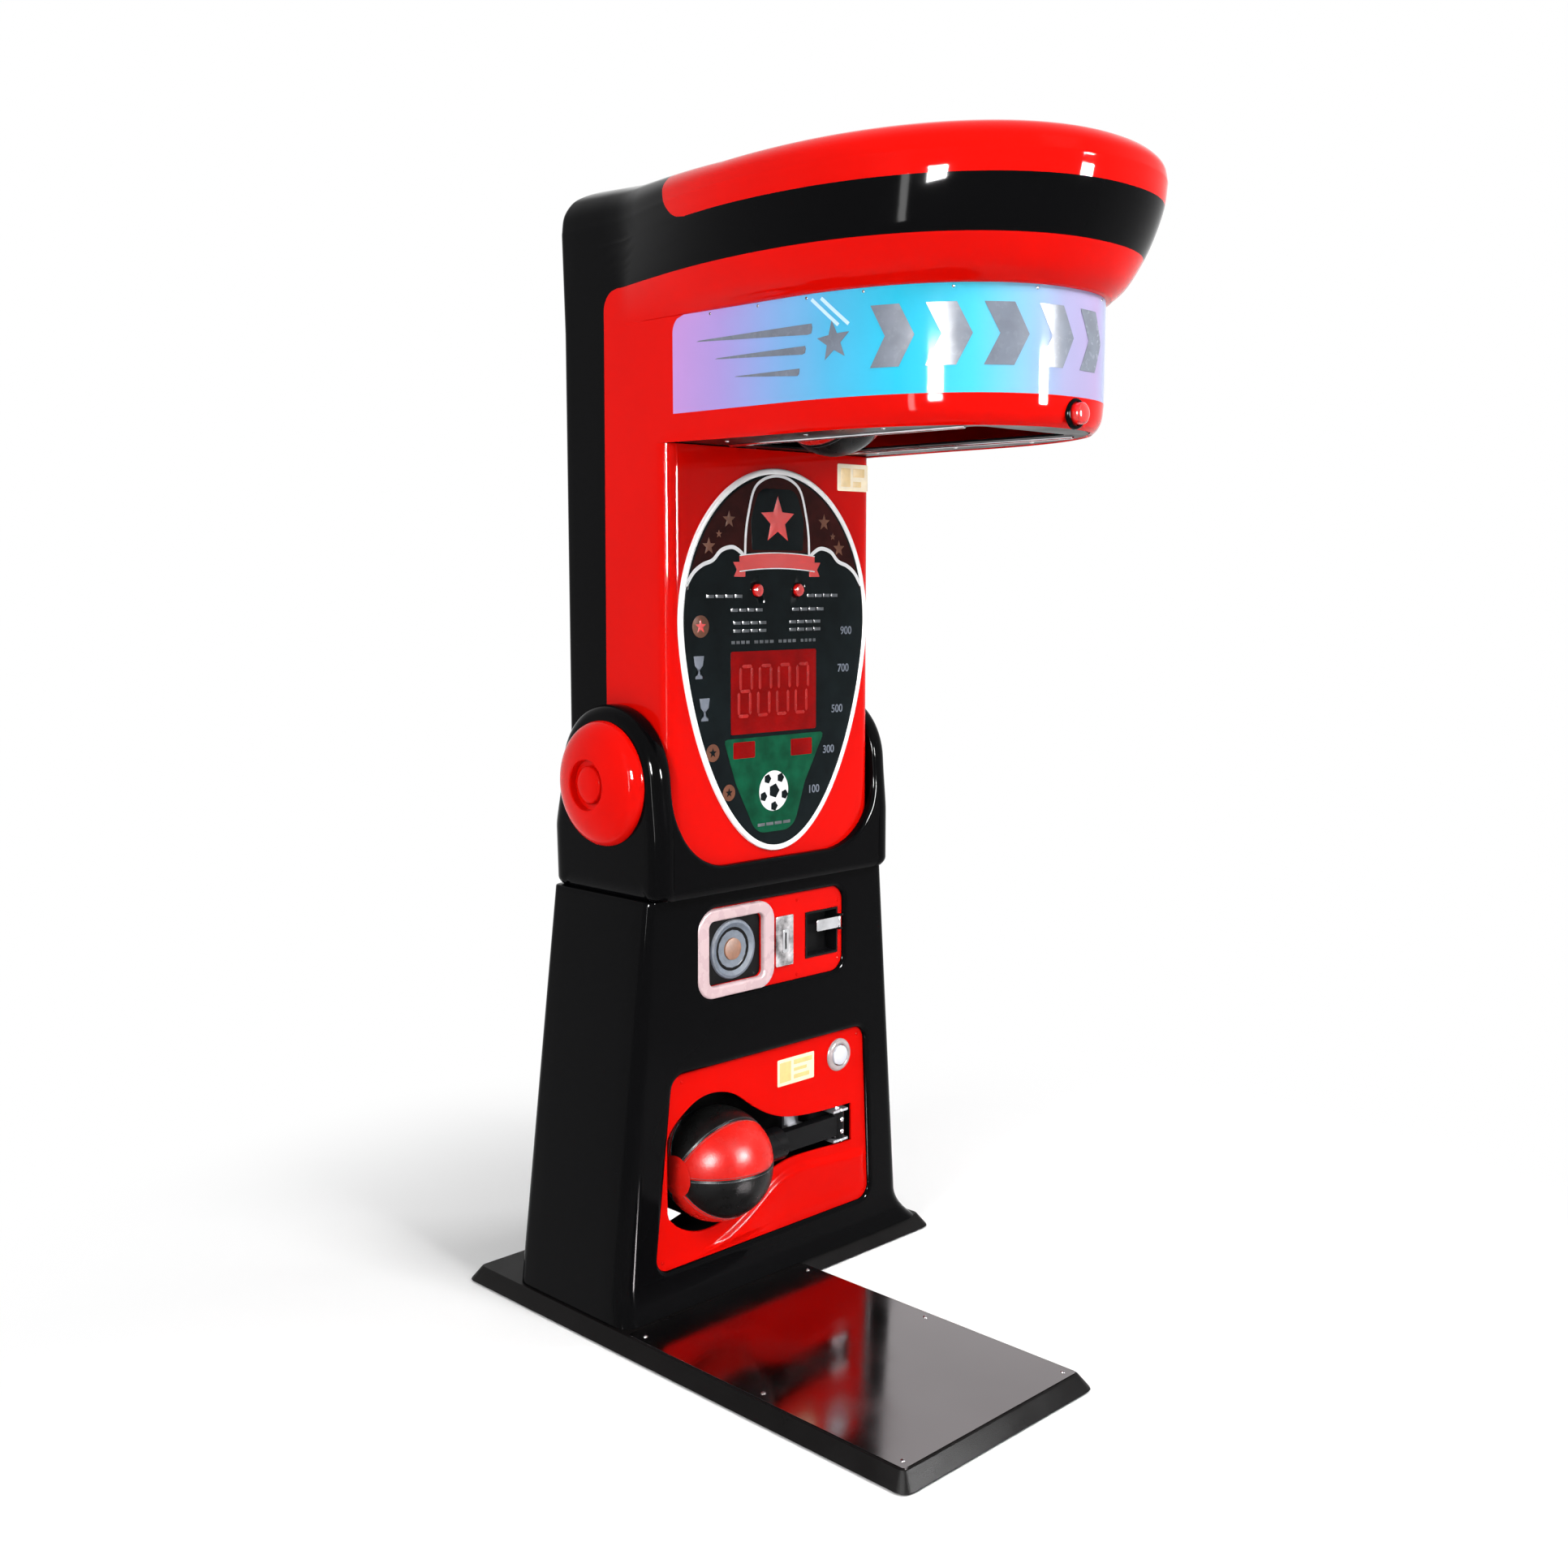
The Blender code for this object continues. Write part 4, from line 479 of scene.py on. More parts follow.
# rise and narrowing, rise and growth to the side and ahead, step in and climb
LIP = ((-0.05, 0.018), (-0.042, 0.01), (-0.027, 0.003), (0.0, 0.0))
VISOR_RISE, VISOR_WIDE, VISOR_FAR, VISOR_SWELL = 0.186, 0.083, 0.1005, 0.003
VISOR = ((0.001, 0.008, 0.009), (0.026, 0.039, 0.033), (0.067, 0.066, 0.057), (0.106, 0.076, 0.078),
         (0.15, 0.082, 0.095), (VISOR_RISE, VISOR_WIDE, VISOR_FAR))
CROWN = ((0.0, 0.0), (0.005, 0.022), (0.02, 0.038), (0.04, 0.048), (0.08, 0.058), (0.14, 0.067), (0.24, 0.08))
ROOF_ROWS = 11
HEAD_HEART = (0, -0.1, LENS_HIGH)


def head_levels():
    """Rows of the head's plan: height, half width in front, reach, half width behind, rear, shrink and climb.

    Each run is a smooth curve through the section's knots. The last rows shrink
    the roof towards its middle, so that it closes.
    """
    rows = [(LENS_LOW + rise, HEAD_SIDE - narrow, REACH - narrow, HEAD_SIDE, HEAD_REAR, 1, 0)
            for rise, narrow in spline(LIP, 14)]
    lip_row = len(rows) - 1
    lens = LENS_HIGH - LENS_CORNER * cos(quarter(10))
    rows += [(z, HEAD_SIDE, REACH, HEAD_SIDE, HEAD_REAR, 1, 0)
             for z in (*linspace(LENS_LOW, lens[0], 6)[1:-1], *lens)]
    lens_row = len(rows) - 1
    for rise, wide, far in spline(VISOR, 61):
        swell = VISOR_SWELL * rise / VISOR_RISE
        rows.append((LENS_HIGH + rise, HEAD_SIDE + wide, REACH + far, HEAD_SIDE + swell, HEAD_REAR + swell, 1, 0))
    top = LENS_HIGH + VISOR_RISE
    for step, climb in spline(CROWN, 43)[1:]:
        rows.append((top + climb, HEAD_SIDE + VISOR_WIDE - step, REACH + VISOR_FAR - step,
                     HEAD_SIDE + VISOR_SWELL - step * 0.75, HEAD_REAR + VISOR_SWELL - step * 0.4, 1, climb))
    for share in linspace(1, 0, ROOF_ROWS + 1)[1:]:
        climb = 0.08 + 0.004 * (1 - share ** 2)
        rows.append((top + climb, *rows[-1][1:5], share, climb))
    return array(rows), lip_row, lens_row


def split_line(z):
    """Where red meets black: a straight line with a rounded top at the band, then the cap's rounded corner."""
    line = SPLIT_LOW + (SPLIT_HIGH - SPLIT_LOW) * (z - SPLIT_FOOT) / (BAND - SPLIT_FOOT)
    up = clip((z - BAND + SPLIT_CORNER) / SPLIT_CORNER, 0, 1)
    line = line - SPLIT_CORNER * (1 - sqrt(1 - up ** 2))
    start = CAP_REAR - CAP_CORNER
    line = np.where(z > BAND, line + (start - line) * clip((z - BAND) / (CAP - BAND), 0, 1), line)
    climb = clip((z - CAP) / CAP_CORNER, 0, 1)
    return np.where(z > CAP, start + CAP_CORNER * sqrt(1 - (1 - climb) ** 2), line)


def head_grid():
    """The head's whole outside: each row is its plan at one level, each column runs up it.

    The plan is a superellipse in front of the head's middle, sides that swell
    with a sine behind it, and a straight rear with round corners. The columns of
    zone 0 are the lens's span, those of zone 1 the sides as far as the split, and
    those of zone 2 the rear.
    """
    rows, lip_row, lens_row = head_levels()
    z, side, reach, rear_side, rear, shrink, climb = (rows[:, k:k + 1] for k in range(7))
    ys = split_line(z)
    lens_up = clip((z - LENS_HIGH + LENS_CORNER) / LENS_CORNER, 0, 1)
    yl = np.minimum(LENS_EDGE - LENS_CORNER * (1 - sqrt(1 - lens_up ** 2)), ys - 0.05)

    def flank(start, end, shares):
        y = start + (end - start) * shares
        flare = np.where(side < rear_side, 0.0, FLARE_START)
        t = clip((flare - y) / (flare - HEAD_MIDDLE), 0, 1)
        return at(rear_side + (side - rear_side) * sin(t * pi / 2), y)

    right = flank(yl, HEAD_MIDDLE, linspace(0, 1, 30)[None])
    angle = linspace(0, pi, 121)[None, 1:-1]
    front = at(-side * np.sign(cos(angle)) * np.abs(cos(angle)) ** (2 / HEAD_POWER),
               HEAD_MIDDLE - (reach + HEAD_MIDDLE) * sin(angle) ** (2 / HEAD_POWER))
    cheek = flank(yl, ys, linspace(0, 1, 12)[None, 1:])
    turn = quarter(10)[None]
    half = join((flank(ys, rear - CORNER, linspace(0, 1, 10)[None, 1:-1]),
                 at(rear_side - CORNER + CORNER * cos(turn), rear - CORNER + CORNER * sin(turn)),
                 at((rear_side - CORNER) * linspace(1, 0, 10)[None, 1:], rear)), 1)
    lens_span = join((right * MIRROR, front, right[:, ::-1]), 1)
    plan = wrapped(join((lens_span, cheek, half, (half * MIRROR)[:, -2::-1], (cheek * MIRROR)[:, ::-1]), 1))
    pivot = array((0.0, CAP_REAR))
    plan = pivot + (plan - pivot) * shrink[..., None]
    lean = 0.08 * np.maximum(0, plan[..., 1] + 0.2) * climb / 0.093
    zone = np.full(plan.shape[1] - 1, 2)
    zone[:lens_span.shape[1] - 1] = 0
    zone[lens_span.shape[1] - 1:][:cheek.shape[1]] = 1
    zone[-cheek.shape[1]:] = 1
    return at(plan[..., 0], plan[..., 1], z + lean), zone, z[:, 0], lip_row, lens_row


def make_head():
    """Red front, black spine and band, red cap and lit lens, all cut from one grid by its zones."""
    points, zone, z, lip_row, lens_row = head_grid()
    level = (z[:-1] + z[1:]) / 2
    row = arange(len(z) - 1)
    is_lens = ((row >= lip_row) & (row < lens_row))[:, None] & (zone == 0)[None]
    below, above, ahead = (level < BAND)[:, None], (level > CAP)[:, None], (zone != 2)[None]
    zs = linspace(COLUMN_LOW, LIP_LOW, 60)[:, None]
    ys = split_line(zs)
    turn = quarter(10)[None] + 0 * zs
    shares = linspace(0, 1, 8)[None, :-1]

    def half_round(run, arc, middle):
        """One side, its corner and the straight across, and the same again mirrored, at every level."""
        plan = join((run, arc, middle, (arc * MIRROR)[:, ::-1], (run * MIRROR)[:, ::-1]), 1)
        return sheet(at(plan[..., 0], plan[..., 1], zs))

    column = half_round(at(-COLUMN_SIDE, ys + (FRONT_CORNER - ys) * shares),
                        at(-COLUMN_SIDE + FRONT_CORNER * (1 - cos(turn)), FRONT_CORNER * (1 - sin(turn))),
                        at((-COLUMN_SIDE + FRONT_CORNER) * linspace(1, -1, 24)[None, 1:-1] + 0 * zs, 0.0))
    rear = COLUMN_REAR - CORNER
    spine = half_round(at(COLUMN_SIDE, ys + (rear - ys) * shares),
                       at(COLUMN_SIDE - CORNER + CORNER * cos(turn), rear + CORNER * sin(turn)),
                       at((COLUMN_SIDE - CORNER) * linspace(1, -1, 20)[None, 1:-1] + 0 * zs, COLUMN_REAR))
    put("front_shell", [sheet(points, below & ahead & ~is_lens, HEAD_HEART), column], "red_gelcoat",
        "upper_body_shell", wall=WALL)
    black = (below & ~ahead) | (~below & ~above) | (above & ~ahead)
    put("spine_shell_skin", [sheet(points, black, HEAD_HEART), spine], "black_gelcoat", "spine_shell", wall=WALL)
    put("roof_cap", [sheet(points, above & ahead, HEAD_HEART)], "red_gelcoat", "head_cap", wall=WALL)
    lens = points[lip_row:lens_row + 1, :(zone == 0).sum() + 1]
    put("marquee_lens_sheet", [sheet(lens, heart=HEAD_HEART)], "lit_acrylic", "marquee_lens", wall=0.003)
    return lens[0, :, :2]


lens_path = make_head()
lens_way = way_along(lens_path)
LENS_PRINT = 0.0007


def on_lens(s, z, out=LENS_PRINT):
    """A spot on the lens: s along its plan, z up, and out from its face along the plan's normal."""
    (x, y), (x_past, y_past), (x_short, y_short) = (
        [interp(s + step, lens_way, lens_path[:, k]) for k in (0, 1)] for step in (0, 0.004, -0.004))
    tx, ty = x_past - x_short, y_past - y_short
    size = hypot(tx, ty) + 1e-12
    return at(x + out * ty / size, y - out * tx / size, z)


def lens_patch(line, rings=8):
    """A flat shape laid on the lens: its outline shrunk to its middle in rings, each spot put on the lens."""
    line = closed(line)
    centre = line[:-1].mean(0)
    flat = centre + (line - centre) * linspace(0, 1, rings + 1)[:, None, None]
    return sheet(on_lens(flat[..., 0], flat[..., 1]), heart=HEAD_HEART)


def star(x, z, radius, inner=0.42, turn=0.0):
    """Five points: the radius steps between two values, with straight edges between."""
    angle = turn + pi / 2 + arange(10) * pi / 5
    size = np.where(arange(10) % 2 == 0, radius, radius * inner)
    return even(at(x + size * cos(angle), z + size * sin(angle)), 80)


def make_marquee_print():
    """Speed streaks, a star and a row of chevrons, and pale lines above them."""
    shapes = [even(((left, low_left), (right, low_right), (right + 0.004, high_right), (left, high_left)), 60)
              for left, right, low_left, low_right, high_left, high_right in (
                  (0.064, 0.346, 1.8625, 1.8475, 1.864, 1.8655), (0.113, 0.332, 1.828, 1.8165, 1.8295, 1.8305),
                  (0.163, 0.318, 1.7935, 1.7825, 1.7945, 1.7945))]
    shapes.append(star(0.392, 1.833, 0.034, turn=0.1))
    sheets = [lens_patch(shape) for shape in shapes]
    low, high, tip, wide = 1.785, 1.884, 0.026, 0.05
    t = linspace(0, 1, 41)[None]
    for k in range(5):
        s = 0.462 + 0.094 * k + np.where(t < 0.5, t * 2, 2 - 2 * t) * tip + linspace(0, 1, 12)[:, None] * wide
        sheets.append(sheet(on_lens(s, low + (high - low) * t), heart=HEAD_HEART))
    put("marquee_shapes", sheets, "printed_grey", wall=PRINT_WALL)
    lines = []
    t = linspace(0, 1, 30)
    for start in (0.345, 0.365):
        s, mid = start + 0.055 * t, 1.9045 - 0.046 * t
        lines.append(sheet(on_lens(array((s, s + 0.004)), array((mid - 0.0022, mid + 0.0022))), heart=HEAD_HEART))
    put("marquee_lines", lines, "pale_blue_print", wall=PRINT_WALL)


make_marquee_print()
for number, s in enumerate((0.1, 0.2204, 0.335, 0.4491, 0.6, 0.74, 0.92, 1.06, 1.2, 1.33, 1.45, 1.56)):
    here, out = on_lens(s, LENS_HIGH - 0.006, 0.0), on_lens(s, LENS_HIGH - 0.006, 1.0)
    screws("marquee_screw_%d" % number, [here], out - here, 0.0026, look="tread_steel")


# ---- display
FACE = -GAP - 0.0043
PRINT = FACE - 0.0003
DISPLAY_SIDE, DISPLAY_WIDEST, DISPLAY_TOP, DISPLAY_LOW = 0.258, 1.36, 1.657, 0.909
MODE_X, MODE_Z = 0.056, 1.423


def egg(inset, count=96):
    """Half an ellipse above the widest line, and below it a half width of root one less depth to the 1.6."""
    side, up, down = DISPLAY_SIDE - inset, DISPLAY_TOP - DISPLAY_WIDEST - inset, DISPLAY_WIDEST - DISPLAY_LOW - inset
    rise = quarter(count)
    fall = sin(linspace(pi / 2, 0, count + 1)[:-1])
    right = join((at(side * sqrt(1 - fall ** 1.6), DISPLAY_WIDEST - down * fall),
                  at(side * cos(rise), DISPLAY_WIDEST + up * sin(rise))))
    return even(join((right, right[1:-1][::-1] * MIRROR)), 4 * count)


def ribbon(knots, width, lift=0.0, count=60):
    """A band of one width along a smooth path in the display's plane."""
    path = spline(knots, count)
    flat = path + left_of(path) * array((-0.5, 0.0, 0.5))[:, None, None] * width
    return sheet(stood(flat, PRINT - lift))


def printed(outline, lift=0.0, fill=1, base=PRINT):
    """A flat printed shape, 0.2 mm thick, whose back is lifted off its base."""
    return plaque(outline, base - lift - 0.0002, base - lift, 0.00008, 0.0, fill)


def prints(name, outlines, look, lift=0.0, **rest):
    """Printed shapes that make one piece."""
    put(name, [printed(outline, lift, **rest) for outline in outlines], look)


def numerals(name, words, size, look):
    """Plain numbers as flat solids: each is set as type, made a mesh, and stood up in the front plane."""
    points, faces, start = [], [], 0
    for text, x, z in words:
        curve = bpy.data.curves.new(name, "FONT")
        curve.body = text
        curve.size = size
        curve.align_x = "CENTER"
        curve.align_y = "CENTER"
        curve.extrude = 0.00012
        curve.offset = size * 0.012
        holder = show(name, curve)
        view = bpy.context.evaluated_depsgraph_get()
        mesh = bpy.data.meshes.new_from_object(holder.evaluated_get(view))
        flat = np.empty(len(mesh.vertices) * 3)
        mesh.vertices.foreach_get("co", flat)
        flat = flat.reshape(-1, 3)
        points.append(at(x + flat[:, 0], PRINT - flat[:, 2], z + flat[:, 1]) + ORIGIN)
        faces += [[start + i for i in face.vertices] for face in mesh.polygons]
        start += len(flat)
        bpy.data.objects.remove(holder, do_unlink=True)
    mesh = bpy.data.meshes.new(name)
    mesh.from_pydata(join(points).tolist(), [], faces)
    mesh.materials.append(LOOKS[look])
    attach(show(name, mesh), "machine")


def digit(x, z, bars, half=0.015, tall=0.048):
    """Seven bars with pointed ends: three across, four up, each drawn if its place in bars is lit."""
    thick = half * 0.22
    places = ((0, tall), (0, 0), (0, -tall), (-half, tall / 2), (half, tall / 2), (-half, -tall / 2),
              (half, -tall / 2))
    made = []
    for k, (dx, dz) in enumerate(places):
        if bars[k]:
            long = half * 0.9 if k < 3 else tall / 2 * 0.92
            shape = array(((-long, 0), (-long + thick, -thick), (long - thick, -thick), (long, 0),
                           (long - thick, thick), (-long + thick, thick)))
            if k >= 3:
                shape = shape[:, ::-1] * MIRROR
            made.append(even(shape + (x + dx + dz * 0.1, z + dz), 36))
    return made


def display_crest():
    """Upper field under the rim, white scrolls and arch, and a dark crest with a star over an empty banner."""
    left = ((-0.24, 1.432), (-0.2214, 1.456), (-0.1988, 1.4708), (-0.172, 1.48), (-0.15, 1.4985),
            (-0.1216, 1.5049), (-0.1, 1.496), (-0.09, 1.486))
    slope = ((-0.088, 1.49), (-0.086, 1.53), (-0.079, 1.568), (-0.064, 1.614), (-0.038, 1.635))
    arch = (*slope, (0.0, 1.643), *((-x, z) for x, z in slope[::-1]))
    x = linspace(-0.236, 0.236, 120)
    scroll = spline(left[:-1], 60)[::-1]
    low = interp(np.abs(x), -scroll[:, 0], scroll[:, 1])
    top = DISPLAY_WIDEST + (DISPLAY_TOP - DISPLAY_WIDEST - 0.016) * sqrt(1 - (x / (DISPLAY_SIDE - 0.016)) ** 2)
    zone = at(x, PRINT + 0.0001, low + (top - low) * linspace(0, 1, 10)[:, None])
    put("display_upper_print", [sheet(zone)], "printed_maroon", wall=0.0001)
    put("display_scroll", [ribbon(left, 0.0075), ribbon([(-x, z) for x, z in left], 0.0075),
                           ribbon(arch, 0.0055, count=120)], "printed_white", wall=PRINT_WALL)
    crest = soften(((-0.07, 1.5), (0.07, 1.5), (0.072, 1.56), (0.05, 1.618), (-0.05, 1.618),
                    (-0.072, 1.56)), (0.004, 0.004, 0.02, 0.03, 0.03, 0.02))
    prints("display_crest", [even(crest, 120)], "printed_black")
    prints("display_crest_star", [star(0.0, 1.557, 0.047, 0.44)], "printed_red", 0.0002)
    side, low, high, bow = 0.103, 1.459, 1.489, 0.006
    t = linspace(-1, 1, 60)
    banner = at(side * t, PRINT - 0.0003, linspace(low, high, 5)[:, None] + bow * (1 - t ** 2))
    tails = [printed(even(soften(((way * 0.088, 1.449), (way * 0.118, 1.449), (way * 0.11, 1.4625),
                                  (way * 0.12, 1.477), (way * 0.088, 1.477)), 0.0006, 2), 60), 0.0001)
             for way in (-1, 1)]
    put("display_banner", [sheet(banner), *tails], "printed_red", wall=PRINT_WALL)
    put("display_banner_edges", [ribbon([(side * a, z + bow * (1 - a * a)) for a in linspace(-1, 1, 9)], 0.0018,
                                        0.0007) for z in (low, high)], "printed_white", wall=0.0002)


def make_display():
    """White rim and dark face, and all that is printed on it: crest, rules, window, digits, field, ball and scores."""
    rim = ((-0.011, -GAP), (-0.011, -0.0042), (-0.0104, -0.0056), (-0.0092, -0.0065), (-0.0065, -0.0069),
           (-0.004, -0.0068), (-0.0016, -0.0062), (-0.0004, -0.005), (0.0, -0.0034), (0.0, -GAP), (-0.011, -GAP))
    put("display_rim", [moulded(egg(0), rim, 0, (0, 0, 1.3))], "white_moulding", "display_ring", sharp=50)
    face = put("display_face", [plaque(egg(0.0113), FACE, -GAP, 0.0003, 0, 10)], "printed_black", "display_glass")
    for side in (-1, 1):
        cut_through(face, disc(side * MODE_X, MODE_Z, 0.0128, 40), -0.02, 0.02)
    display_crest()
    stars = [(-0.1298, 1.5565, 0.017), (-0.1821, 1.5056, 0.017), (0.1305, 1.5565, 0.017), (0.174, 1.5056, 0.017),
             (-0.156, 1.529, 0.008), (0.156, 1.529, 0.008)]
    prints("display_stars", [star(*spot) for spot in stars], "printed_copper")
    dashes = []
    for z, spans in ((1.4119, ((-0.192, -0.094), (0.08, 0.172))), (1.3853, ((-0.128, -0.04), (0.038, 0.131))),
                     (1.3606, ((-0.122, -0.03), (0.03, 0.122))), (1.3455, ((-0.122, -0.03), (0.03, 0.122))),
                     (1.3236, ((-0.127, -0.075), (-0.066, -0.01), (0.0, 0.052), (0.062, 0.108))),
                     (0.964, ((-0.058, 0.036),))):
        for edges in (linspace(start, end, 5) for start, end in spans):
            dashes += [block(a + 0.002, b - 0.002, z - 0.003, z + 0.003) for a, b in zip(edges[:-1], edges[1:])]
    prints("display_rules", dashes, "printed_dim", 0.0003)
    prints("score_window", [soften(block(-0.127, 0.108, 1.146, 1.306), 0.004, 4)], "led_window", fill=4)
    digits = [bar for k in range(4) for bar in digit(-0.0885 + 0.052 * k, 1.229, (1, k == 0, 1, 1, 1, 1, 1))]
    prints("score_digits", digits, "led_unlit", 0.0003)
    field = soften(((-0.146, 1.138), (0.132, 1.138), (0.076, 1.04), (0.044, 0.948), (-0.06, 0.948),
                    (-0.114, 1.05)), (0.006, 0.006, 0.03, 0.04, 0.04, 0.03))
    prints("display_field", [even(field, 120)], "printed_green", fill=4)
    prints("try_windows", [soften(block(*edges), 0.003, 3) for edges in (
        (-0.121, -0.063, 1.099, 1.131), (0.036, 0.096, 1.095, 1.128))], "led_window", 0.0002)
    x, z = -0.0116, 1.029
    put("printed_ball", [plaque(disc(x, z, 0.04, 72), PRINT - 0.0006, PRINT - 0.0001, 0.0002, 0.0008, 8)],
        "printed_white")
    patches = [disc(x, z, 0.015, 5)]
    for a in pi / 2 + pi / 5 + arange(5) * 2 * pi / 5:
        patches.append(disc(x + 0.0305 * cos(a), z + 0.0305 * sin(a), 0.01, 5))
    prints("printed_ball_patches", [even(patch, 30) for patch in patches], "printed_black", 0.0014)
    right = array(((0.013, 0.022), (0.01, 0.004), (0.003, -0.003), (0.003, -0.013), (0.009, -0.017),
                   (0.009, -0.021)))
    cup = join((right[:1] * MIRROR, right, right[:0:-1] * MIRROR))
    prints("display_cups", [even(cup + spot, 90) for spot in ((-0.209, 1.2786), (-0.1948, 1.1983))], "printed_grey")
    medals = ((-0.2039, 1.356, 0.021), (-0.1745, 1.1151, 0.017), (-0.1326, 1.035, 0.016))
    prints("display_medals", [disc(*medal, 48) for medal in medals], "printed_copper")
    prints("display_medal_stars", [star(a, b, r * 0.66) for a, b, r in medals[:1]], "printed_red", 0.0002)
    prints("display_medal_cups", [star(a, b, r * 0.6) for a, b, r in medals[1:]], "printed_black", 0.0002)
    numerals("display_numbers", (("900", 0.196, 1.34), ("700", 0.188, 1.264), ("500", 0.17, 1.1818),
                                 ("300", 0.145, 1.1003), ("100", 0.102, 1.0224)), 0.0225, "printed_grey")


make_display()


# ---- lower body
FOOT, SEAM = local("lower_body_shell")[0][2], 0.8436
TOP = SEAM - 0.003
FOOT_SIDE, SEAM_SIDE = 0.408, 0.327
COIN_FACE, KICK_FACE = 0.016, 0.02
COIN = soften(block(-0.186, 0.208, 0.631, 0.81), 0.033, 12)
KICK = soften(((-0.311, 0.11), (0.298, 0.11), (0.278, 0.495), (-0.266, 0.495)), 0.03, 12)
BODY_HEART = (0, 0.16, 0.4)


def foot_flare(z):
    return clip(1 - (z - 0.0315) / 0.075, 0, 1) ** 2


def side_flare(z):
    """How far the foot spreads on the right, where it isn't cut straight."""
    return 0.044 * foot_flare(z)


def body_side(z):
    return FOOT_SIDE + (SEAM_SIDE - FOOT_SIDE) * z / SEAM


def body_corner(z):
    return 0.036 - 0.018 * z / SEAM


def body_front(z):
    return 0.013 - 0.006 * z / SEAM - 0.016 * foot_flare(z)


def body_rear(z):
    return 0.347 - 0.045 * z / SEAM


def window_sheet(levels, across, outline, soft, sunk, wall_at, rim_at=None):
    """A wall with one opening: from the opening's own depth, over a soft quarter-round, out to a rectangle.

    The loops are met by rays from the opening's middle, in a space where the
    wall's width counts as one. The rays pass through the given levels up the
    sides and the given shares across the ends, so that neighbours meet point
    for point. wall_at(z) gives the wall's y, and sunk the y the edge turns in
    to, or rim_at how far it turns in.
    """
    width = 0.33
    zc = (outline[:, 1].min() + outline[:, 1].max()) / 2
    upright, level = levels - zc, width * across
    outer = join((at(level, upright[0]), at(width, upright[1:]), at(level[-2::-1], upright[-1]),
                  at(-width, upright[-2:0:-1])))
    angle = arctan2(outer[:, 1], outer[:, 0])

    def meet(line):
        line = even(line, 720)
        flat = at(line[:, 0] / (body_side(line[:, 1]) - body_corner(line[:, 1])) * width, line[:, 1] - zc)
        return rays_meet(flat, angle)[:, None] * at(cos(angle), sin(angle))

    inner, wide = meet(outline), meet(outline + outward(outline) * soft)
    turn = quarter(9)[:, None, None]
    share = linspace(0, 1, 13)[1:, None, None]
    flat = join((inner + (wide - inner) * (1 - cos(turn)), wide + (outer - wide) * share))
    z, u = flat[..., 1] + zc, flat[..., 0] / width
    reach = body_side(z) - body_corner(z) + np.where(u > 0, side_flare(z), 0)
    drop = join((1 - sin(turn[:, 0, 0]), np.zeros(12)))[:, None]
    y = wall_at(z)
    y = y + (sunk - y) * drop if rim_at is None else y + rim_at * drop
    return sheet(wrapped(at(u * reach, y, z)), heart=(0, 0.16, zc))


def make_lower_body():
    """Front and rear walls with their openings, joined by corner arcs and sides, and a folded top edge."""
    low = join((linspace(FOOT, 0.11, 24)[:-1], linspace(0.11, 0.56, 46)))
    high = linspace(0.56, TOP, 31)
    across = linspace(-1, 1, 81)
    levels = join((low, high[1:]))
    z = levels[:, None]
    turn = quarter(11)[None]
    r, front, rear = body_corner(z), body_front(z), body_rear(z)
    door = even(block(-0.19, 0.19, 0.13, 0.6), 200)
    sheets = [window_sheet(low, across, KICK, 0.011, KICK_FACE - GAP, body_front),
              window_sheet(high, across, COIN, 0.011, COIN_FACE - GAP, body_front),
              window_sheet(levels, across, door, 0.002, 0, body_rear, -0.002)]
    loops = []
    for side in (-1, 1):
        half = body_side(z) + (side_flare(z) if side > 0 else 0 * z)
        arc = half - r + r * sin(turn)
        span = linspace(0, 1, 8)[None, 1:-1]
        x = join((arc, half + 0 * span, arc[:, ::-1]), 1)
        y = join((front + r - r * cos(turn), front + r + (rear - front - 2 * r) * span,
                  rear - r + r * cos(turn[:, ::-1])), 1)
        sheets.append(sheet(at(side * x, y, z), heart=BODY_HEART))
        loops.append(at(side * x[-1], y[-1]))
    edge = (body_side(TOP) - body_corner(TOP)) * across[1:-1]
    ring = closed(join((at(edge, body_front(TOP)), loops[1], at(edge[::-1], body_rear(TOP)), loops[0][::-1])))
    middle = array((0.0, 0.155))
    fold = array(((0.0, 0.0), (0.0009, 0.0018), (0.003, 0.0027), (0.03, 0.003), (0.055, 0.003)))[..., None]
    flat = middle + (ring - middle) * (1 - fold[:, :1] / 0.25)
    sheets.append(sheet(at(flat[..., 0], flat[..., 1], TOP + fold[:, 1]), heart=(0, 0.155, 0.0)))
    put("lower_body_skin", sheets, "black_gelcoat", "lower_body_shell", wall=0.004)


make_lower_body()


# ---- yoke and hubs
YOKE_LOW, YOKE_SIDE, YOKE_FRONT, YOKE_REAR = 0.8439, 0.327, -0.018, 0.311
LOBE_Y, LOBE_Z, LOBE_RADIUS, LOBE_ROOT = 0.14, 1.06, 0.148, 0.97
FIT = COLUMN_SIDE + 0.0006
MOUTH_LOW, MOUTH_RADIUS, MOUTH_FLAT, MOUTH_SOFT = 0.896, 0.14, 0.1386, 0.009


def yoke_front(z):
    return YOKE_FRONT + 0.01 * clip((z - LOBE_ROOT) / (LOBE_Z - LOBE_ROOT), 0, 1)


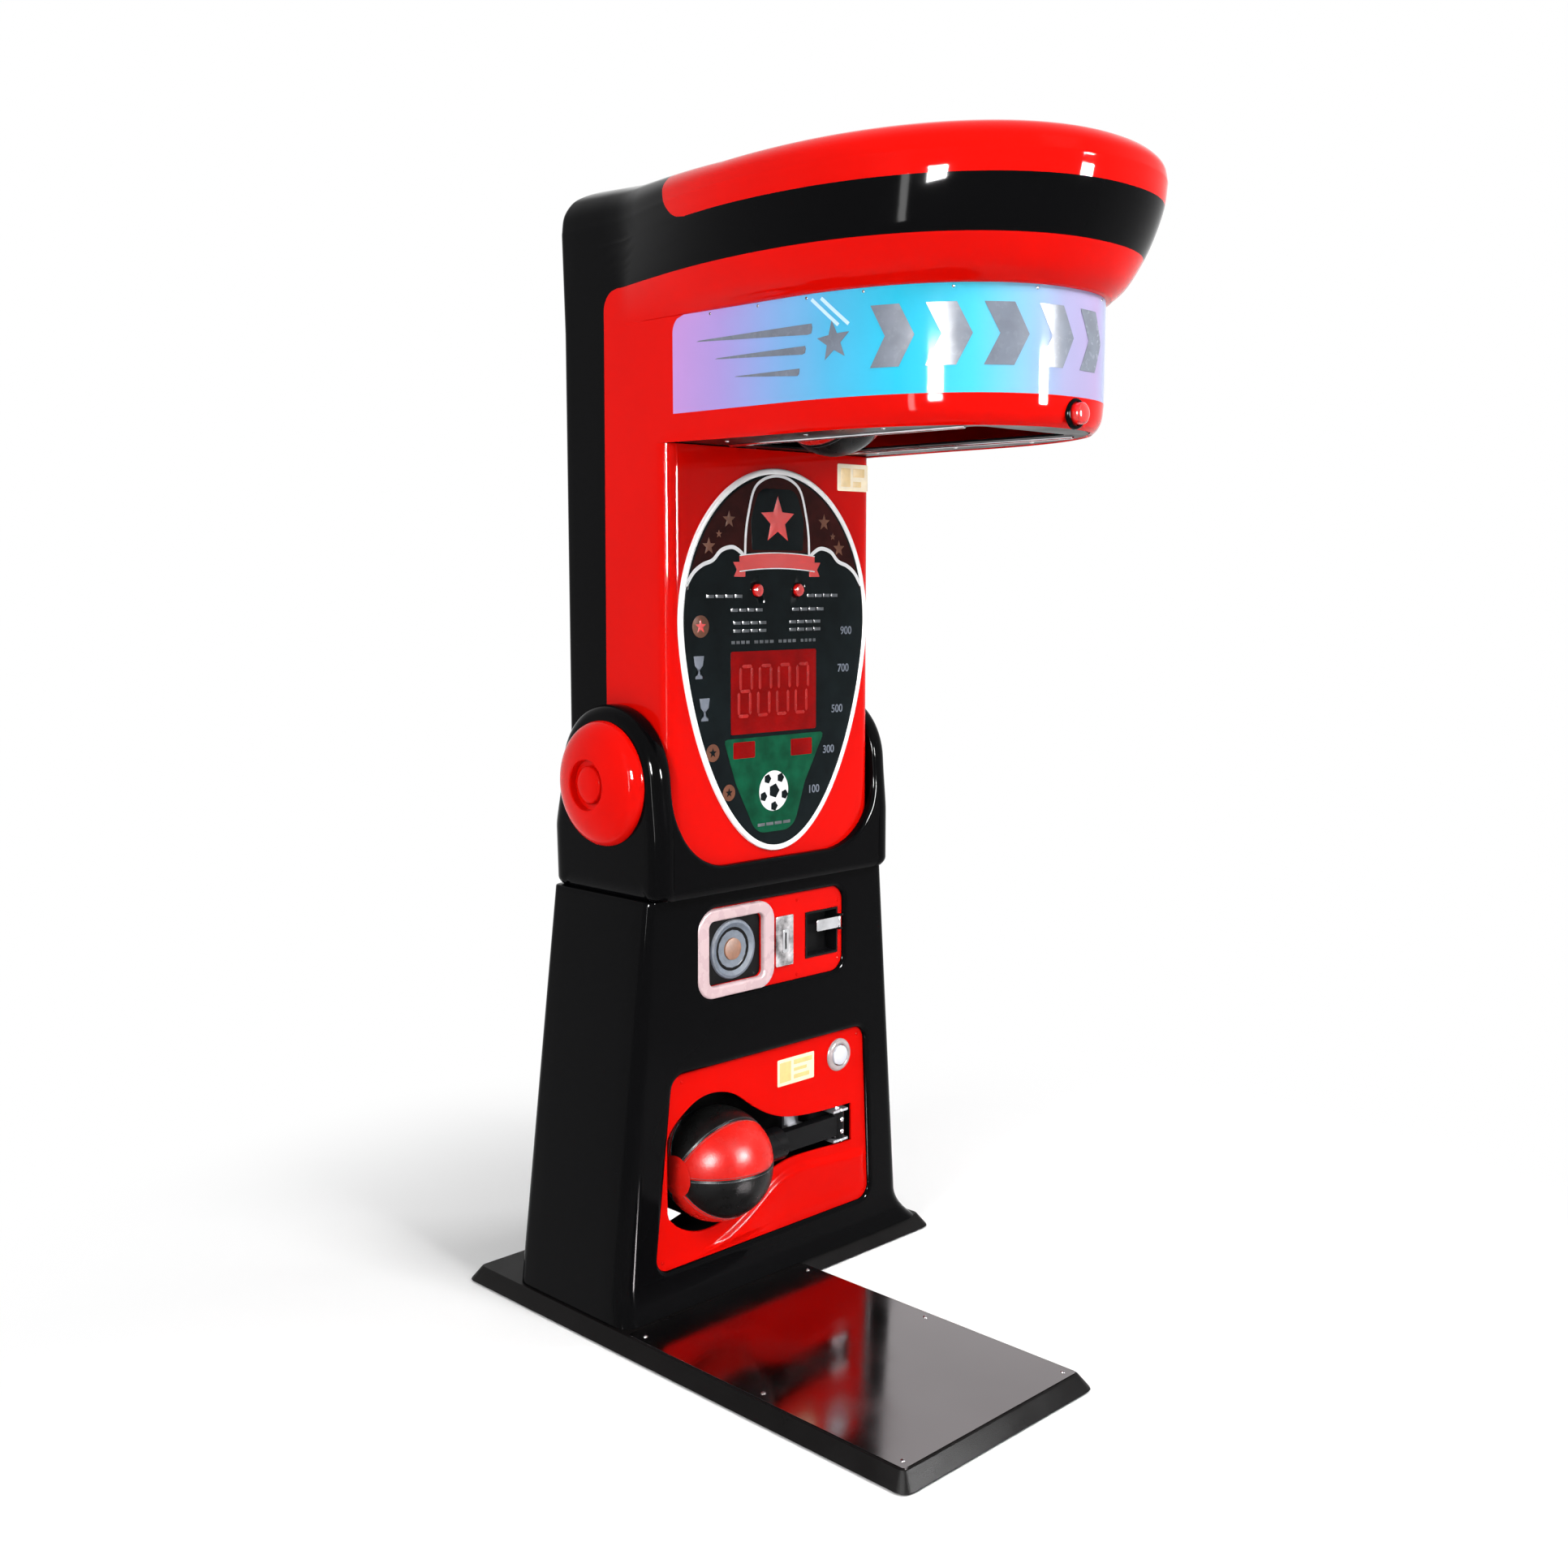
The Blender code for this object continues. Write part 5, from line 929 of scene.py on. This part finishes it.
def lobe():
    """One cheek of the yoke, an outline in the side plane with a soft edge.

    Its rows run from its inner face out over an edge whose radius changes along
    the outline, and then shrink to the cheek's middle.
    """
    foot = linspace(YOKE_LOW + 0.0001, LOBE_ROOT, 34)
    slope = linspace(LOBE_ROOT, LOBE_Z, 10)
    turn = linspace(pi, 0, 81)
    loop = join((at(YOKE_FRONT, foot[:-1]), at(linspace(YOKE_FRONT, LOBE_Y - LOBE_RADIUS, 10), slope)[:-1],
                 at(LOBE_Y + LOBE_RADIUS * cos(turn), LOBE_Z + LOBE_RADIUS * sin(turn)),
                 at(linspace(LOBE_Y + LOBE_RADIUS, YOKE_REAR, 10), slope[::-1])[1:],
                 at(YOKE_REAR, foot[-2::-1])))
    for _ in range(6):
        loop[1:-1] = (loop[:-2] + 2 * loop[1:-1] + loop[2:]) / 4
    count = len(loop)
    radius = interp(arange(count), (0, 33, 58, 93, 118, count - 1), (0.03, 0.03, 0.024, 0.024, 0.036, 0.044))
    turn = quarter(10)[:, None]
    lining = array(((FIT, 0.006), (FIT + 0.0018, 0.0018), (FIT + 0.006, 0.0)))
    x = join((lining[:, :1] + 0 * radius, YOKE_SIDE - radius + radius * sin(turn)))
    inset = join((lining[:, 1:] + 0 * radius, radius * (1 - cos(turn))))
    flat = loop - left_of(loop) * inset[..., None]
    flat[..., 1] = np.maximum(flat[..., 1], YOKE_LOW)
    along = linspace(0, 1, 24)[None, 1:-1]
    flat = join((flat, flat[:, -1:] + (flat[:, :1] - flat[:, -1:]) * along[..., None]), 1)
    x = join((x, x[:, -1:] + (x[:, :1] - x[:, -1:]) * along), 1)
    centre = array((0.14, 1.01))
    share = linspace(1, 0, 12)[1:, None, None]
    flat = join((centre + (flat[0] - centre) * share[::-1], flat, centre + (flat[-1] - centre) * share))
    x = join((np.full((11, x.shape[1]), FIT), x, np.full((11, x.shape[1]), YOKE_SIDE)))
    return x, flat


def make_yoke():
    """Two lobes, joined in front by a collar with a U-shaped mouth, and behind by a plain wall."""
    x, flat = lobe()
    sheets = [sheet(wrapped(at(side * x, flat[..., 0], flat[..., 1])), heart=(side * 0.303, 0.14, 1.0))
              for side in (-1, 1)]
    angle = quarter(26)
    arc = at(MOUTH_FLAT + MOUTH_RADIUS * sin(angle), MOUTH_LOW + MOUTH_RADIUS - MOUTH_RADIUS * cos(angle))
    half = join((at(linspace(0, MOUTH_FLAT, 14)[:-1], MOUTH_LOW), arc))
    mouth = join((half[::-1] * MIRROR, half[1:]))
    turn = quarter(9)[:, None, None]
    edge = mouth - left_of(mouth) * MOUTH_SOFT * (1 - sin(turn))
    foot = at(edge[0, :, 0], YOKE_LOW + 0.0001)
    flat = join((foot + (edge[0] - foot) * linspace(0, 1, 27)[:-1, None, None], edge, mouth[None]))
    y = yoke_front(flat[..., 1])
    y[26:26 + 9] += MOUTH_SOFT * (1 - cos(turn[..., 0]))
    y[-1] = -0.0006
    sheets.append(sheet(stood(flat, y)))
    turn = quarter(7)[1:]
    z = join((linspace(YOKE_LOW, 0.962, 8), 0.962 + 0.008 * sin(turn)))[:, None]
    y = join((np.full(8, YOKE_REAR), YOKE_REAR - 0.006 * (1 - cos(turn))))[:, None]
    sheets.append(sheet(at(linspace(-0.29, 0.29, 20), y, z)))
    middle = array((0.0, 0.15))
    for points, _, _ in sheets:
        foot = clip(1 - (points[:, 2] - YOKE_LOW) / 0.016, 0, 1)
        points[:, :2] = middle + (points[:, :2] - middle) * (1 - 0.03 * foot ** 2)[:, None]
    put("yoke_skin", sheets, "black_gelcoat", "yoke_shell", sharp=55)


make_yoke()
HUB_RADIUS, HUB_RISE, HUB_HOLE = 0.12, 0.048, 0.048
for name, side in (("left", -1), ("right", 1)):
    rise = HUB_RISE * sqrt(1 - (HUB_HOLE / HUB_RADIUS) ** 2)
    angle = linspace(0, np.arccos((HUB_HOLE + 0.002) / HUB_RADIUS), 24)
    shape = join((((0.0, 0.0), (HUB_RADIUS - 0.0005, 0.0)), at(HUB_RADIUS * cos(angle), HUB_RISE * sin(angle)),
                  ((0.049, rise - 0.0004), (0.0483, rise - 0.0016), (HUB_HOLE, rise - 0.004),
                   (HUB_HOLE, rise - 0.0155), (0.047, rise - 0.016), (0.0, rise - 0.016))))
    centre = (side * (YOKE_SIDE + GAP), 0.137, 1.058)
    put("hub_" + name, [turned(shape, centre, (side, 0, 0), 96)], "red_gelcoat", "hub_dome_" + name, sharp=50)
    top = rise - 0.006
    cap = ((0.0, rise - 0.0157), (0.0355, rise - 0.0157), (0.036, top - 0.003), (0.0353, top - 0.0008),
           (0.0335, top + 0.0008), (0.024, top + 0.0034), (0.012, top + 0.0044), (0.0, top + 0.0047))
    put("hub_plug_" + name, [turned(cap, centre, (side, 0, 0), 72)], "red_gelcoat", "hub_cap_" + name, sharp=50)


# ---- coin panel
def make_coin_panel():
    """Speaker in its frame, crinkled coin entry, and the return lever over its black cup."""
    x, z = -0.1015, 0.72
    front = COIN_FACE - GAP
    outer = soften(block(x - 0.103, x + 0.103, z - 0.088, z + 0.088), 0.04, 12)
    inner = soften(block(x - 0.074, x + 0.074, z - 0.0648, z + 0.0648), 0.014, 8)
    put("speaker_bezel", [pierced(outer, inner, (x, z), front - 0.011, front, 0.0045)], "blush_moulding",
        "speaker_frame", sharp=60)
    centre = (x, COIN_FACE + 0.004, z)
    profile = ((0.06, 0.0), (0.058, 0.003), (0.053, 0.0042), (0.049, 0.0022), (0.046, 0.0), (0.04, -0.0008),
               (0.022, -0.0012), (0.0215, 0.0022), (0.014, 0.0038), (0.0, 0.0044))
    put("speaker_surround", [turned(profile[:7], centre, FORWARD, 72)], "speaker_cloth")
    put("speaker_dust_cap", [turned(profile[6:], centre, FORWARD, 48)], "speaker_cone")
    entry = even(soften(block(0.01, 0.06, 0.665, 0.769), 0.003, 4), 200)
    # the coin entry's mottled light and dark is painted reflection in its chrome's colour; only the crinkle's bump is
    # its own
    put("coin_face", [plaque(entry, front - 0.006, front, 0.0018, 0.0008, 24)], "crinkled_chrome", "coin_entry",
        sharp=50)
    lip = soften(block(0.027, 0.043, 0.693, 0.741), 0.003, 4)
    hole = soften(block(0.0328, 0.0372, 0.7, 0.734), 0.001, 3)
    put("coin_slot_lip", [pierced(lip, hole, (0.035, 0.717), front - 0.0085, front - 0.006, 0.0008, 360)], "chrome",
        sharp=50)
    # painted shade: a black plate just behind the lip closes the slot and stands in for the dark inside it
    dark = even(block(0.0326, 0.0374, 0.6998, 0.7342), 60)
    put("coin_slot_painted_shade", [plaque(dark, front - 0.0072, front - 0.0066, 0.0001)], "black_satin")
    x, z = 0.1925, 0.7345
    blade = even(soften(block(x - 0.068, x, z - 0.012, z + 0.012), (0.004, 0.001, 0.001, 0.004), 5), 160)
    pin = ((0, 0), (0.004, 0), (0.0045, 0.0005), (0.0045, 0.0235), (0.004, 0.024), (0, 0.024))
    put("return_lever", [plaque(blade, 0.006, 0.01, 0.0012, 0.0004, 6),
                         turned(pin, (x, 0.009, z - 0.012), (0, 0, 1), 24)], "chrome", "coin_return_lever",
        "coin_return_lever", sharp=50)
    screws("coin_plate_screws", [(x, front, z) for x, z in ((0.075, 0.64), (0.075, 0.794), (0.196, 0.655),
                                                            (0.196, 0.779))], FORWARD, 0.0032, look="red_gelcoat")


make_coin_panel()


# ---- kick panel
START_X, START_Z = 0.205, 0.444
RIDGE = spline(((0.33, 0.215), (0.2411, 0.2189), (0.1819, 0.2227), (0.1158, 0.229), (0.0674, 0.229),
                (0.0278, 0.219), (-0.0035, 0.204), (-0.0345, 0.184), (-0.0727, 0.1611), (-0.1104, 0.1432),
                (-0.1401, 0.1318), (-0.23, 0.1)), 160)[::-1]
RIDGE_HEIGHT, RIDGE_STEP, RIDGE_EASE = 0.0085, 0.018, 0.07


def pear():
    """The ball's window running into the arm's slot: a smooth line above, another below, and a plain left edge."""
    top = spline(((0.2446, 0.3302), (0.173, 0.3315), (0.0994, 0.336), (0.0435, 0.345), (-0.0033, 0.3622),
                  (-0.0416, 0.3846), (-0.0717, 0.4065), (-0.0978, 0.424), (-0.1309, 0.4356), (-0.1672, 0.4386),
                  (-0.1994, 0.4321), (-0.2314, 0.4149), (-0.256, 0.3962), (-0.27, 0.3806)), 110)
    bottom = spline(((-0.272, 0.2104), (-0.2476, 0.1883), (-0.2123, 0.1707), (-0.1764, 0.1645), (-0.1399, 0.1672),
                     (-0.1027, 0.1778), (-0.0726, 0.1924), (-0.0497, 0.21), (-0.0267, 0.227), (0.0004, 0.24),
                     (0.0356, 0.249), (0.0754, 0.253), (0.1321, 0.252), (0.1817, 0.2495), (0.2452, 0.2475)), 110)
    return join((top, at(-0.276, linspace(0.368, 0.224, 12)), bottom))


def smooth_step(t):
    """From 0 to 1, level at both ends: three times the square less twice the cube."""
    return t ** 2 * (3 - 2 * t)


def ridge_rise(x, z):
    """How far the panel stands out: past the S-shaped line it climbs in a smooth step, then eases off again.

    The way past the line is the height between it and the spot, times the cosine of its slope.
    """
    line = interp(x, RIDGE[:, 0], RIDGE[:, 1])
    slope = interp(x, RIDGE[:, 0], np.gradient(RIDGE[:, 1], RIDGE[:, 0]))
    past = (line - z) / sqrt(1 + slope ** 2)
    step = smooth_step(clip(past / RIDGE_STEP + 0.5, 0, 1))
    ease = smooth_step(clip((past - RIDGE_STEP / 2) / RIDGE_EASE, 0, 1))
    inside = smooth_step(clip((0.297 - x) / 0.03, 0, 1) * clip((z - 0.112) / 0.022, 0, 1))
    return RIDGE_HEIGHT * step * (1 - 0.75 * ease) * inside


def label(name, edges, corner, y, rows):
    """A cream label whose back is at y, with plain blocks printed on it."""
    outline = even(soften(block(*edges), corner, 3), 160)
    put(name, [plaque(outline, y - 0.0004, y, 0.0001, 0, 8)], "cream_label")
    prints(name + "_print", [even(block(*row), 40) for row in rows], "label_print", 0.0005, base=y)


def make_kick_panel():
    """Red panel with its pear window, the start button, and the small labels."""
    outer = soften(((-0.321, 0.1), (0.308, 0.1), (0.288, 0.505), (-0.276, 0.505)), 0.038, 10)
    flat, quads, spots = pierced(outer, pear(), (-0.137, 0.298), KICK_FACE, KICK_FACE + 0.004, 0.0014, 960, 64)
    flat[:, 1] -= ridge_rise(flat[:, 0], flat[:, 2]) * (flat[:, 1] < KICK_FACE + 0.002)
    plate = put("kick_panel_plate", [(flat, quads, spots)], "red_satin", "kick_panel", sharp=45)
    cut_through(plate, disc(START_X, START_Z, 0.0224, 48), -0.02, 0.05)
    corner = even(((-0.282, 0.24), (-0.238, 0.2135), (-0.27, 0.206)), 60)
    put("pocket_gusset", [plaque(corner, KICK_FACE + 0.0044, KICK_FACE + 0.0064, 0.0004)], "white_moulding")
    ring = ((-0.0122, 0.0), (-0.0122, -0.004), (-0.0108, -0.0056), (-0.008, -0.0062), (-0.0045, -0.0054),
            (-0.0015, -0.003), (0.0, -0.0008), (0.0, 0.0), (-0.0122, 0.0))
    front = KICK_FACE - GAP
    put("start_ring", [moulded(disc(START_X, START_Z, 0.035, 96), ring, front,
                               (START_X, KICK_FACE - 0.001, START_Z))], "clear_ring", "kick_button_ring", sharp=60)
    dome = ((0, 0), (0.0205, 0), (0.021, 0.001), (0.021, 0.01), (0.02, 0.0116), (0.017, 0.0132), (0.01, 0.0144),
            (0.0, 0.015))
    put("start_lens", [turned(dome, (START_X, KICK_FACE + 0.0035, START_Z), FORWARD, 64)], "lens_white",
        "kick_button", "kick_button", sharp=50)
    label("score_label", (0.023, 0.13, 0.411, 0.467), 0.002, front, (
        (0.029, 0.062, 0.418, 0.46), (0.07, 0.124, 0.45, 0.46), (0.07, 0.108, 0.436, 0.443),
        (0.07, 0.116, 0.42, 0.429)))
    label("column_label", (0.174, 0.264, 1.6215, 1.6755), 0.003, -0.0002, (
        (0.184, 0.212, 1.63, 1.667), (0.22, 0.254, 1.65, 1.667), (0.22, 0.244, 1.63, 1.641)))
    screws("kick_panel_screws", [(x, front, z) for x, z in ((-0.238, 0.478), (0.262, 0.478), (0.282, 0.128),
                                                            (-0.29, 0.128))], FORWARD, 0.0038, look="red_gelcoat")


make_kick_panel()


# ---- balls and arms
def gored_ball(name, node, body, pole, turn, gores=6):
    """A stitched ball of gores, red and black by turns.

    Each gore swells by the sine of the way across it, and the radius dips in a
    narrow bell at each seam. Two threads run beside each seam, their thickness
    the root of a sine along it, so that they read as stitches. Both ends have
    a domed button.
    """
    low, high = local(node)
    centre, radius, pole = (low + high) / 2, (high - low)[2] / 2, np.asarray(pole, float)
    side = unit(np.cross(pole, (0.0, 0.0, 1.0)))
    other = np.cross(pole, side)
    gore = 2 * pi / gores
    sunk, swell, dip, seam = 0.0026, 0.0022, 0.0022, 0.0022
    beside, thread, end = 0.0042, 0.00055, 0.16

    def place(size, lat, lon):
        ring = cos(lon)[..., None] * side + sin(lon)[..., None] * other
        return centre + size[..., None] * (sin(lat)[..., None] * ring + cos(lat)[..., None] * pole)

    def size_at(lat, lon):
        share = ((lon - turn) / gore) % 1.0
        away = np.minimum(share, 1 - share) * gore * sin(lat) * radius
        full = swell * sin(pi * share) ** 0.8 * sin(lat)
        return radius - sunk + full - dip * np.exp(-(away / seam) ** 2) * sin(lat) ** 0.5

    lat = linspace(0, pi, 90)[:, None]
    across = 0.5 - 0.5 * cos(linspace(0, pi, 25))  # shares of a gore, closer together by its seams
    lon = turn + gore * (arange(gores)[:, None] + across[None, :-1]).reshape(-1)
    lon = np.append(lon, turn + 2 * pi)[None]
    skin = place(size_at(lat, lon), lat + 0 * lon, lon + 0 * lat)
    bands = np.tile(np.repeat(arange(gores) % 2, len(across) - 1), len(lat) - 1)
    cover = put(name, [sheet(skin, heart=centre)], ("red_leather", "black_leather"), node, body, bands=bands,
                sharp=80, merge=1e-6)
    threads = []
    t = linspace(end, pi - end, 300)[:, None]
    spin = linspace(0, 2 * pi, 7)[None]
    for k in range(gores):
        for off in (-beside, beside):
            path = turn + k * gore + off / (radius * sin(t))
            thick = thread * sqrt(np.abs(sin(t * 90)))
            size = size_at(t, path) + thick * (cos(spin) + 0.2)
            threads.append(sheet(place(size, t + 0 * spin, path + thick * sin(spin) / (radius * sin(t))),
                                 heart=centre))
    put(name + "_stitches", threads, "printed_dim", body=body, merge=1e-7)
    cap, out, root = linspace(0.36, 0, 12), radius + 0.0004, radius * 0.93
    button = join((((0.0, root), (radius * 0.35, root)), at(out * sin(cap), out * cos(cap))))
    put(name + "_buttons", [turned(button, centre, way * pole, 48) for way in (-1, 1)], "red_leather", body=body,
        merge=1e-6)


gored_ball("kick_ball_cover", "kick_ball", "kick_arm", (1, 0, 0), 1.02)
gored_ball("punch_ball_cover", "punch_ball", "punch_arm", (0, 1, 0), 0.0)
polished("kick_arm", "kick_arm_bar", "black_satin", "kick_arm", 0.0016)
screws("kick_hinge_screws", [(0.211, 0.0138, z) for z in (0.276, 0.302)], FORWARD, 0.0055, "kick_arm")
screws("kick_bracket_screws", [(0.211, 0.0158, z) for z in (0.2565, 0.3215)], FORWARD, 0.004)

# ---- buttons
lip_z = LENS_LOW - 0.027
lip_dome = ((0, 0), (0.0175, 0), (0.018, 0.001), (0.018, 0.022), (0.0172, 0.0246), (0.0145, 0.0268), (0.009, 0.0282),
            (0, 0.0288))
put("lip_button_dome", [turned(lip_dome, (0, -REACH + 0.01, lip_z), FORWARD, 48)], "button_red", "lip_button",
    "lip_button", sharp=50)
bezel = ((-0.001, 0.002), (-0.001, -0.0036), (0.0006, -0.005), (0.003, -0.0046), (0.005, -0.0022),
         (0.0056, 0.002), (-0.001, 0.002))
put("lip_button_bezel", [moulded(disc(0, lip_z, 0.0202, 72), bezel, -REACH + 0.0016, (0, -REACH, lip_z))],
    "black_gelcoat", sharp=60)
mode_dome = ((0, 0), (0.0116, 0), (0.012, 0.0008), (0.012, 0.0096), (0.0113, 0.0112), (0.009, 0.0124),
             (0.005, 0.013), (0, 0.0132))
for name, side in (("left", -1), ("right", 1)):
    put("mode_dome_" + name, [turned(mode_dome, (side * MODE_X, 0.0, MODE_Z), FORWARD, 40)], "button_red",
        "mode_button_" + name, "mode_button_" + name, sharp=50)

# ---- tray, underside and rear
polished("base_tray", "tray_skin", "powder_black", "machine", 0.0025, 25)
tread_low, tread_high = local("tread_plate")
screws("tread_screws", [(x, y, tread_high[2]) for x in (tread_low[0] + 0.018, tread_high[0] - 0.018)
                        for y in (tread_low[1] + 0.018, tread_low[1] + 0.34, tread_high[1] - 0.03)], (0, 0, 1),
       look="tread_steel")
rod, rod_end, rod_start, rod_stop = 0.004, 0.0008, -0.59, -0.03
rod_long = rod_stop - rod_start
rod_line = ((0, 0), (rod - rod_end, 0), (rod, rod_end), (rod, rod_long - rod_end), (rod - rod_end, rod_long),
            (0, rod_long))
for number, x in enumerate((-0.15, 0.15)):
    put("underside_rail_%d" % number, [turned(rod_line, (x, rod_start, LIP_LOW + 0.001), (0, 1, 0), 20)], "chrome")
screws("underside_screws", [(x, y, LIP_LOW + 0.002) for x in (-0.205, 0.205) for y in (-0.08, -0.28, -0.46)],
       (0, 0, -1))
screws("rear_seam_screws", [(x, COLUMN_REAR, z) for x in (-0.2, 0.2) for z in (1.02, 1.25, 1.48, 1.66)], (0, 1, 0))
screws("head_rear_screws", [(x, HEAD_REAR + 0.0006, z) for x in (-0.2, 0.2) for z in (1.76, 1.92)], (0, 1, 0))

# ---- finishes of the CAD pieces that show
for look, names in (
        ("red_gelcoat", ("coin_plate",)),
        ("black_satin", ("coin_reject_cup", "coin_validator", "kick_pocket", "power_inlet", "head_underside_panel",
                         "encoder_disc", "speaker")),
        ("powder_black", ("rear_door",)),
        ("tread_steel", ("tread_plate",)),
        ("chrome", ("kick_axle", "punch_axle", "door_lock")),
        ("brushed_steel", ("kick_bracket", "punch_arm", "axle_bearing_left", "axle_bearing_right", "holding_magnet",
                           "door_hinge")),
        ("galvanised", ("inner_frame", "cash_box", "coin_chute", "power_supply")),
        ("black_rubber", ("punch_bumper", *("levelling_foot_%d" % k for k in range(1, 7)))),
        ("board_green", ("control_board", "display_board", "marquee_lamp_board", "speed_sensor"))):
    for name in names:
        for spot in NODES[name].material_slots:
            spot.material = LOOKS[look]

# ---- floor, light and camera
FLOOR_RADIUS, FLOOR_DROP, FADE_START, FADE_END = 30, 0.0005, 0.75, 1.9
CAMERA_DOWN, CAMERA_TURN = 6.881, -45.0
scene = bpy.context.scene
scene.view_settings.view_transform = "Standard"


def maths(tree, operation, first, second):
    """What one operation makes of two values."""
    node = tree.nodes.new("ShaderNodeMath")
    node.operation = operation
    return fill(tree, node, {0: first, 1: second}).outputs[0]


def seen_plainly(tree):
    """One for rays that come from the camera, a mirror or glass."""
    path = tree.nodes.new("ShaderNodeLightPath").outputs
    return maths(tree, "MAXIMUM", maths(tree, "MAXIMUM", path["Is Camera Ray"], path["Is Glossy Ray"]),
                 path["Is Transmission Ray"])


def make_floor():
    """A pale disc that keeps the machine's shadow and turns to plain white away from it."""
    material = bpy.data.materials.new("studio_floor")
    material.use_nodes = True
    tree = material.node_tree
    shader = fill(tree, tree.nodes["Principled BSDF"], {
        "Base Color": (0.9, 0.9, 0.9, 1), "Roughness": 0.9, "Specular IOR Level": 0.0})
    length = tree.nodes.new("ShaderNodeVectorMath")
    length.operation = "LENGTH"
    fill(tree, length, {0: add(tree, "TexCoord", {}, "Object")})
    fade = tree.nodes.new("ShaderNodeMapRange")
    fade.interpolation_type = "SMOOTHSTEP"
    fill(tree, fade, {"From Min": FADE_START, "From Max": FADE_END, "Value": length.outputs["Value"]})
    mix = add(tree, "MixShader", {"Fac": maths(tree, "MULTIPLY", seen_plainly(tree), fade.outputs["Result"]),
                                  1: shader.outputs["BSDF"], 2: add(tree, "Emission", {})})
    fill(tree, tree.nodes["Material Output"], {"Surface": mix})
    mesh = bpy.data.meshes.new("studio_floor")
    ring = disc(0, 0, FLOOR_RADIUS, 128)
    mesh.from_pydata(at(ring[:, 0], ring[:, 1], -FLOOR_DROP).tolist(), [], [list(range(len(ring)))])
    mesh.materials.append(material)
    show("studio_floor", mesh)


def make_world():
    """Soft grey light from all round, seen as white."""
    world = bpy.data.worlds.new("studio")
    scene.world = world
    world.use_nodes = True
    tree = world.node_tree
    soft = fill(tree, tree.nodes["Background"], {"Color": (1, 1, 1, 1), "Strength": 0.42})
    mix = add(tree, "MixShader", {"Fac": seen_plainly(tree), 1: soft.outputs["Background"],
                                  2: add(tree, "Background", {"Color": (1, 1, 1, 1)})})
    fill(tree, tree.nodes["World Output"], {"Surface": mix})


def softbox(name, place, aim, width, height, power, glint=False):
    """A rectangular lamp whose -Z looks from its place to what it lights.

    A glint is only seen in glossy faces, and the other lamps only light.
    """
    lamp = bpy.data.lights.new(name, "AREA")
    lamp.shape = "RECTANGLE"
    lamp.size, lamp.size_y = width, height
    lamp.energy = power
    holder = show(name, lamp)
    holder.location = place
    holder.rotation_euler = (Vector(aim) - Vector(place)).to_track_quat("-Z", "Y").to_euler()
    holder.visible_camera = False
    holder.visible_diffuse = not glint
    holder.visible_glossy = glint


make_floor()
make_world()
softbox("front_box", (0.1, -3.3, 3.9), (0, 0, 1.3), 1.3, 1.5, 190)
softbox("right_box", (3.6, -1.6, 3.1), (0, 0, 1.3), 1.2, 1.5, 90)
softbox("left_box", (-3.9, -0.6, 2.6), (0, 0, 1.1), 1.0, 2.2, 110)
softbox("window_left", (-3.44, -1.83, 1.86), (-0.24, -0.4, 1.84), 0.54, 0.78, 1000, True)
softbox("window_front", (1.03, -3.83, 1.86), (-0.1, -0.53, 1.84), 0.54, 0.78, 1000, True)
softbox("edge_strip", (-3.6, -1.00, 1.25), (-0.28, -0.34, 1.3), 0.2, 1.5, 40, True)

view = bpy.data.cameras.new("camera")
view.lens = 38.9
view.sensor_width = 36.0
camera = show("camera", view)
camera.location = (-2.3718, -2.2094, 1.4436)
camera.rotation_euler = (np.radians(90 - CAMERA_DOWN), 0.0, np.radians(CAMERA_TURN))
scene.camera = camera
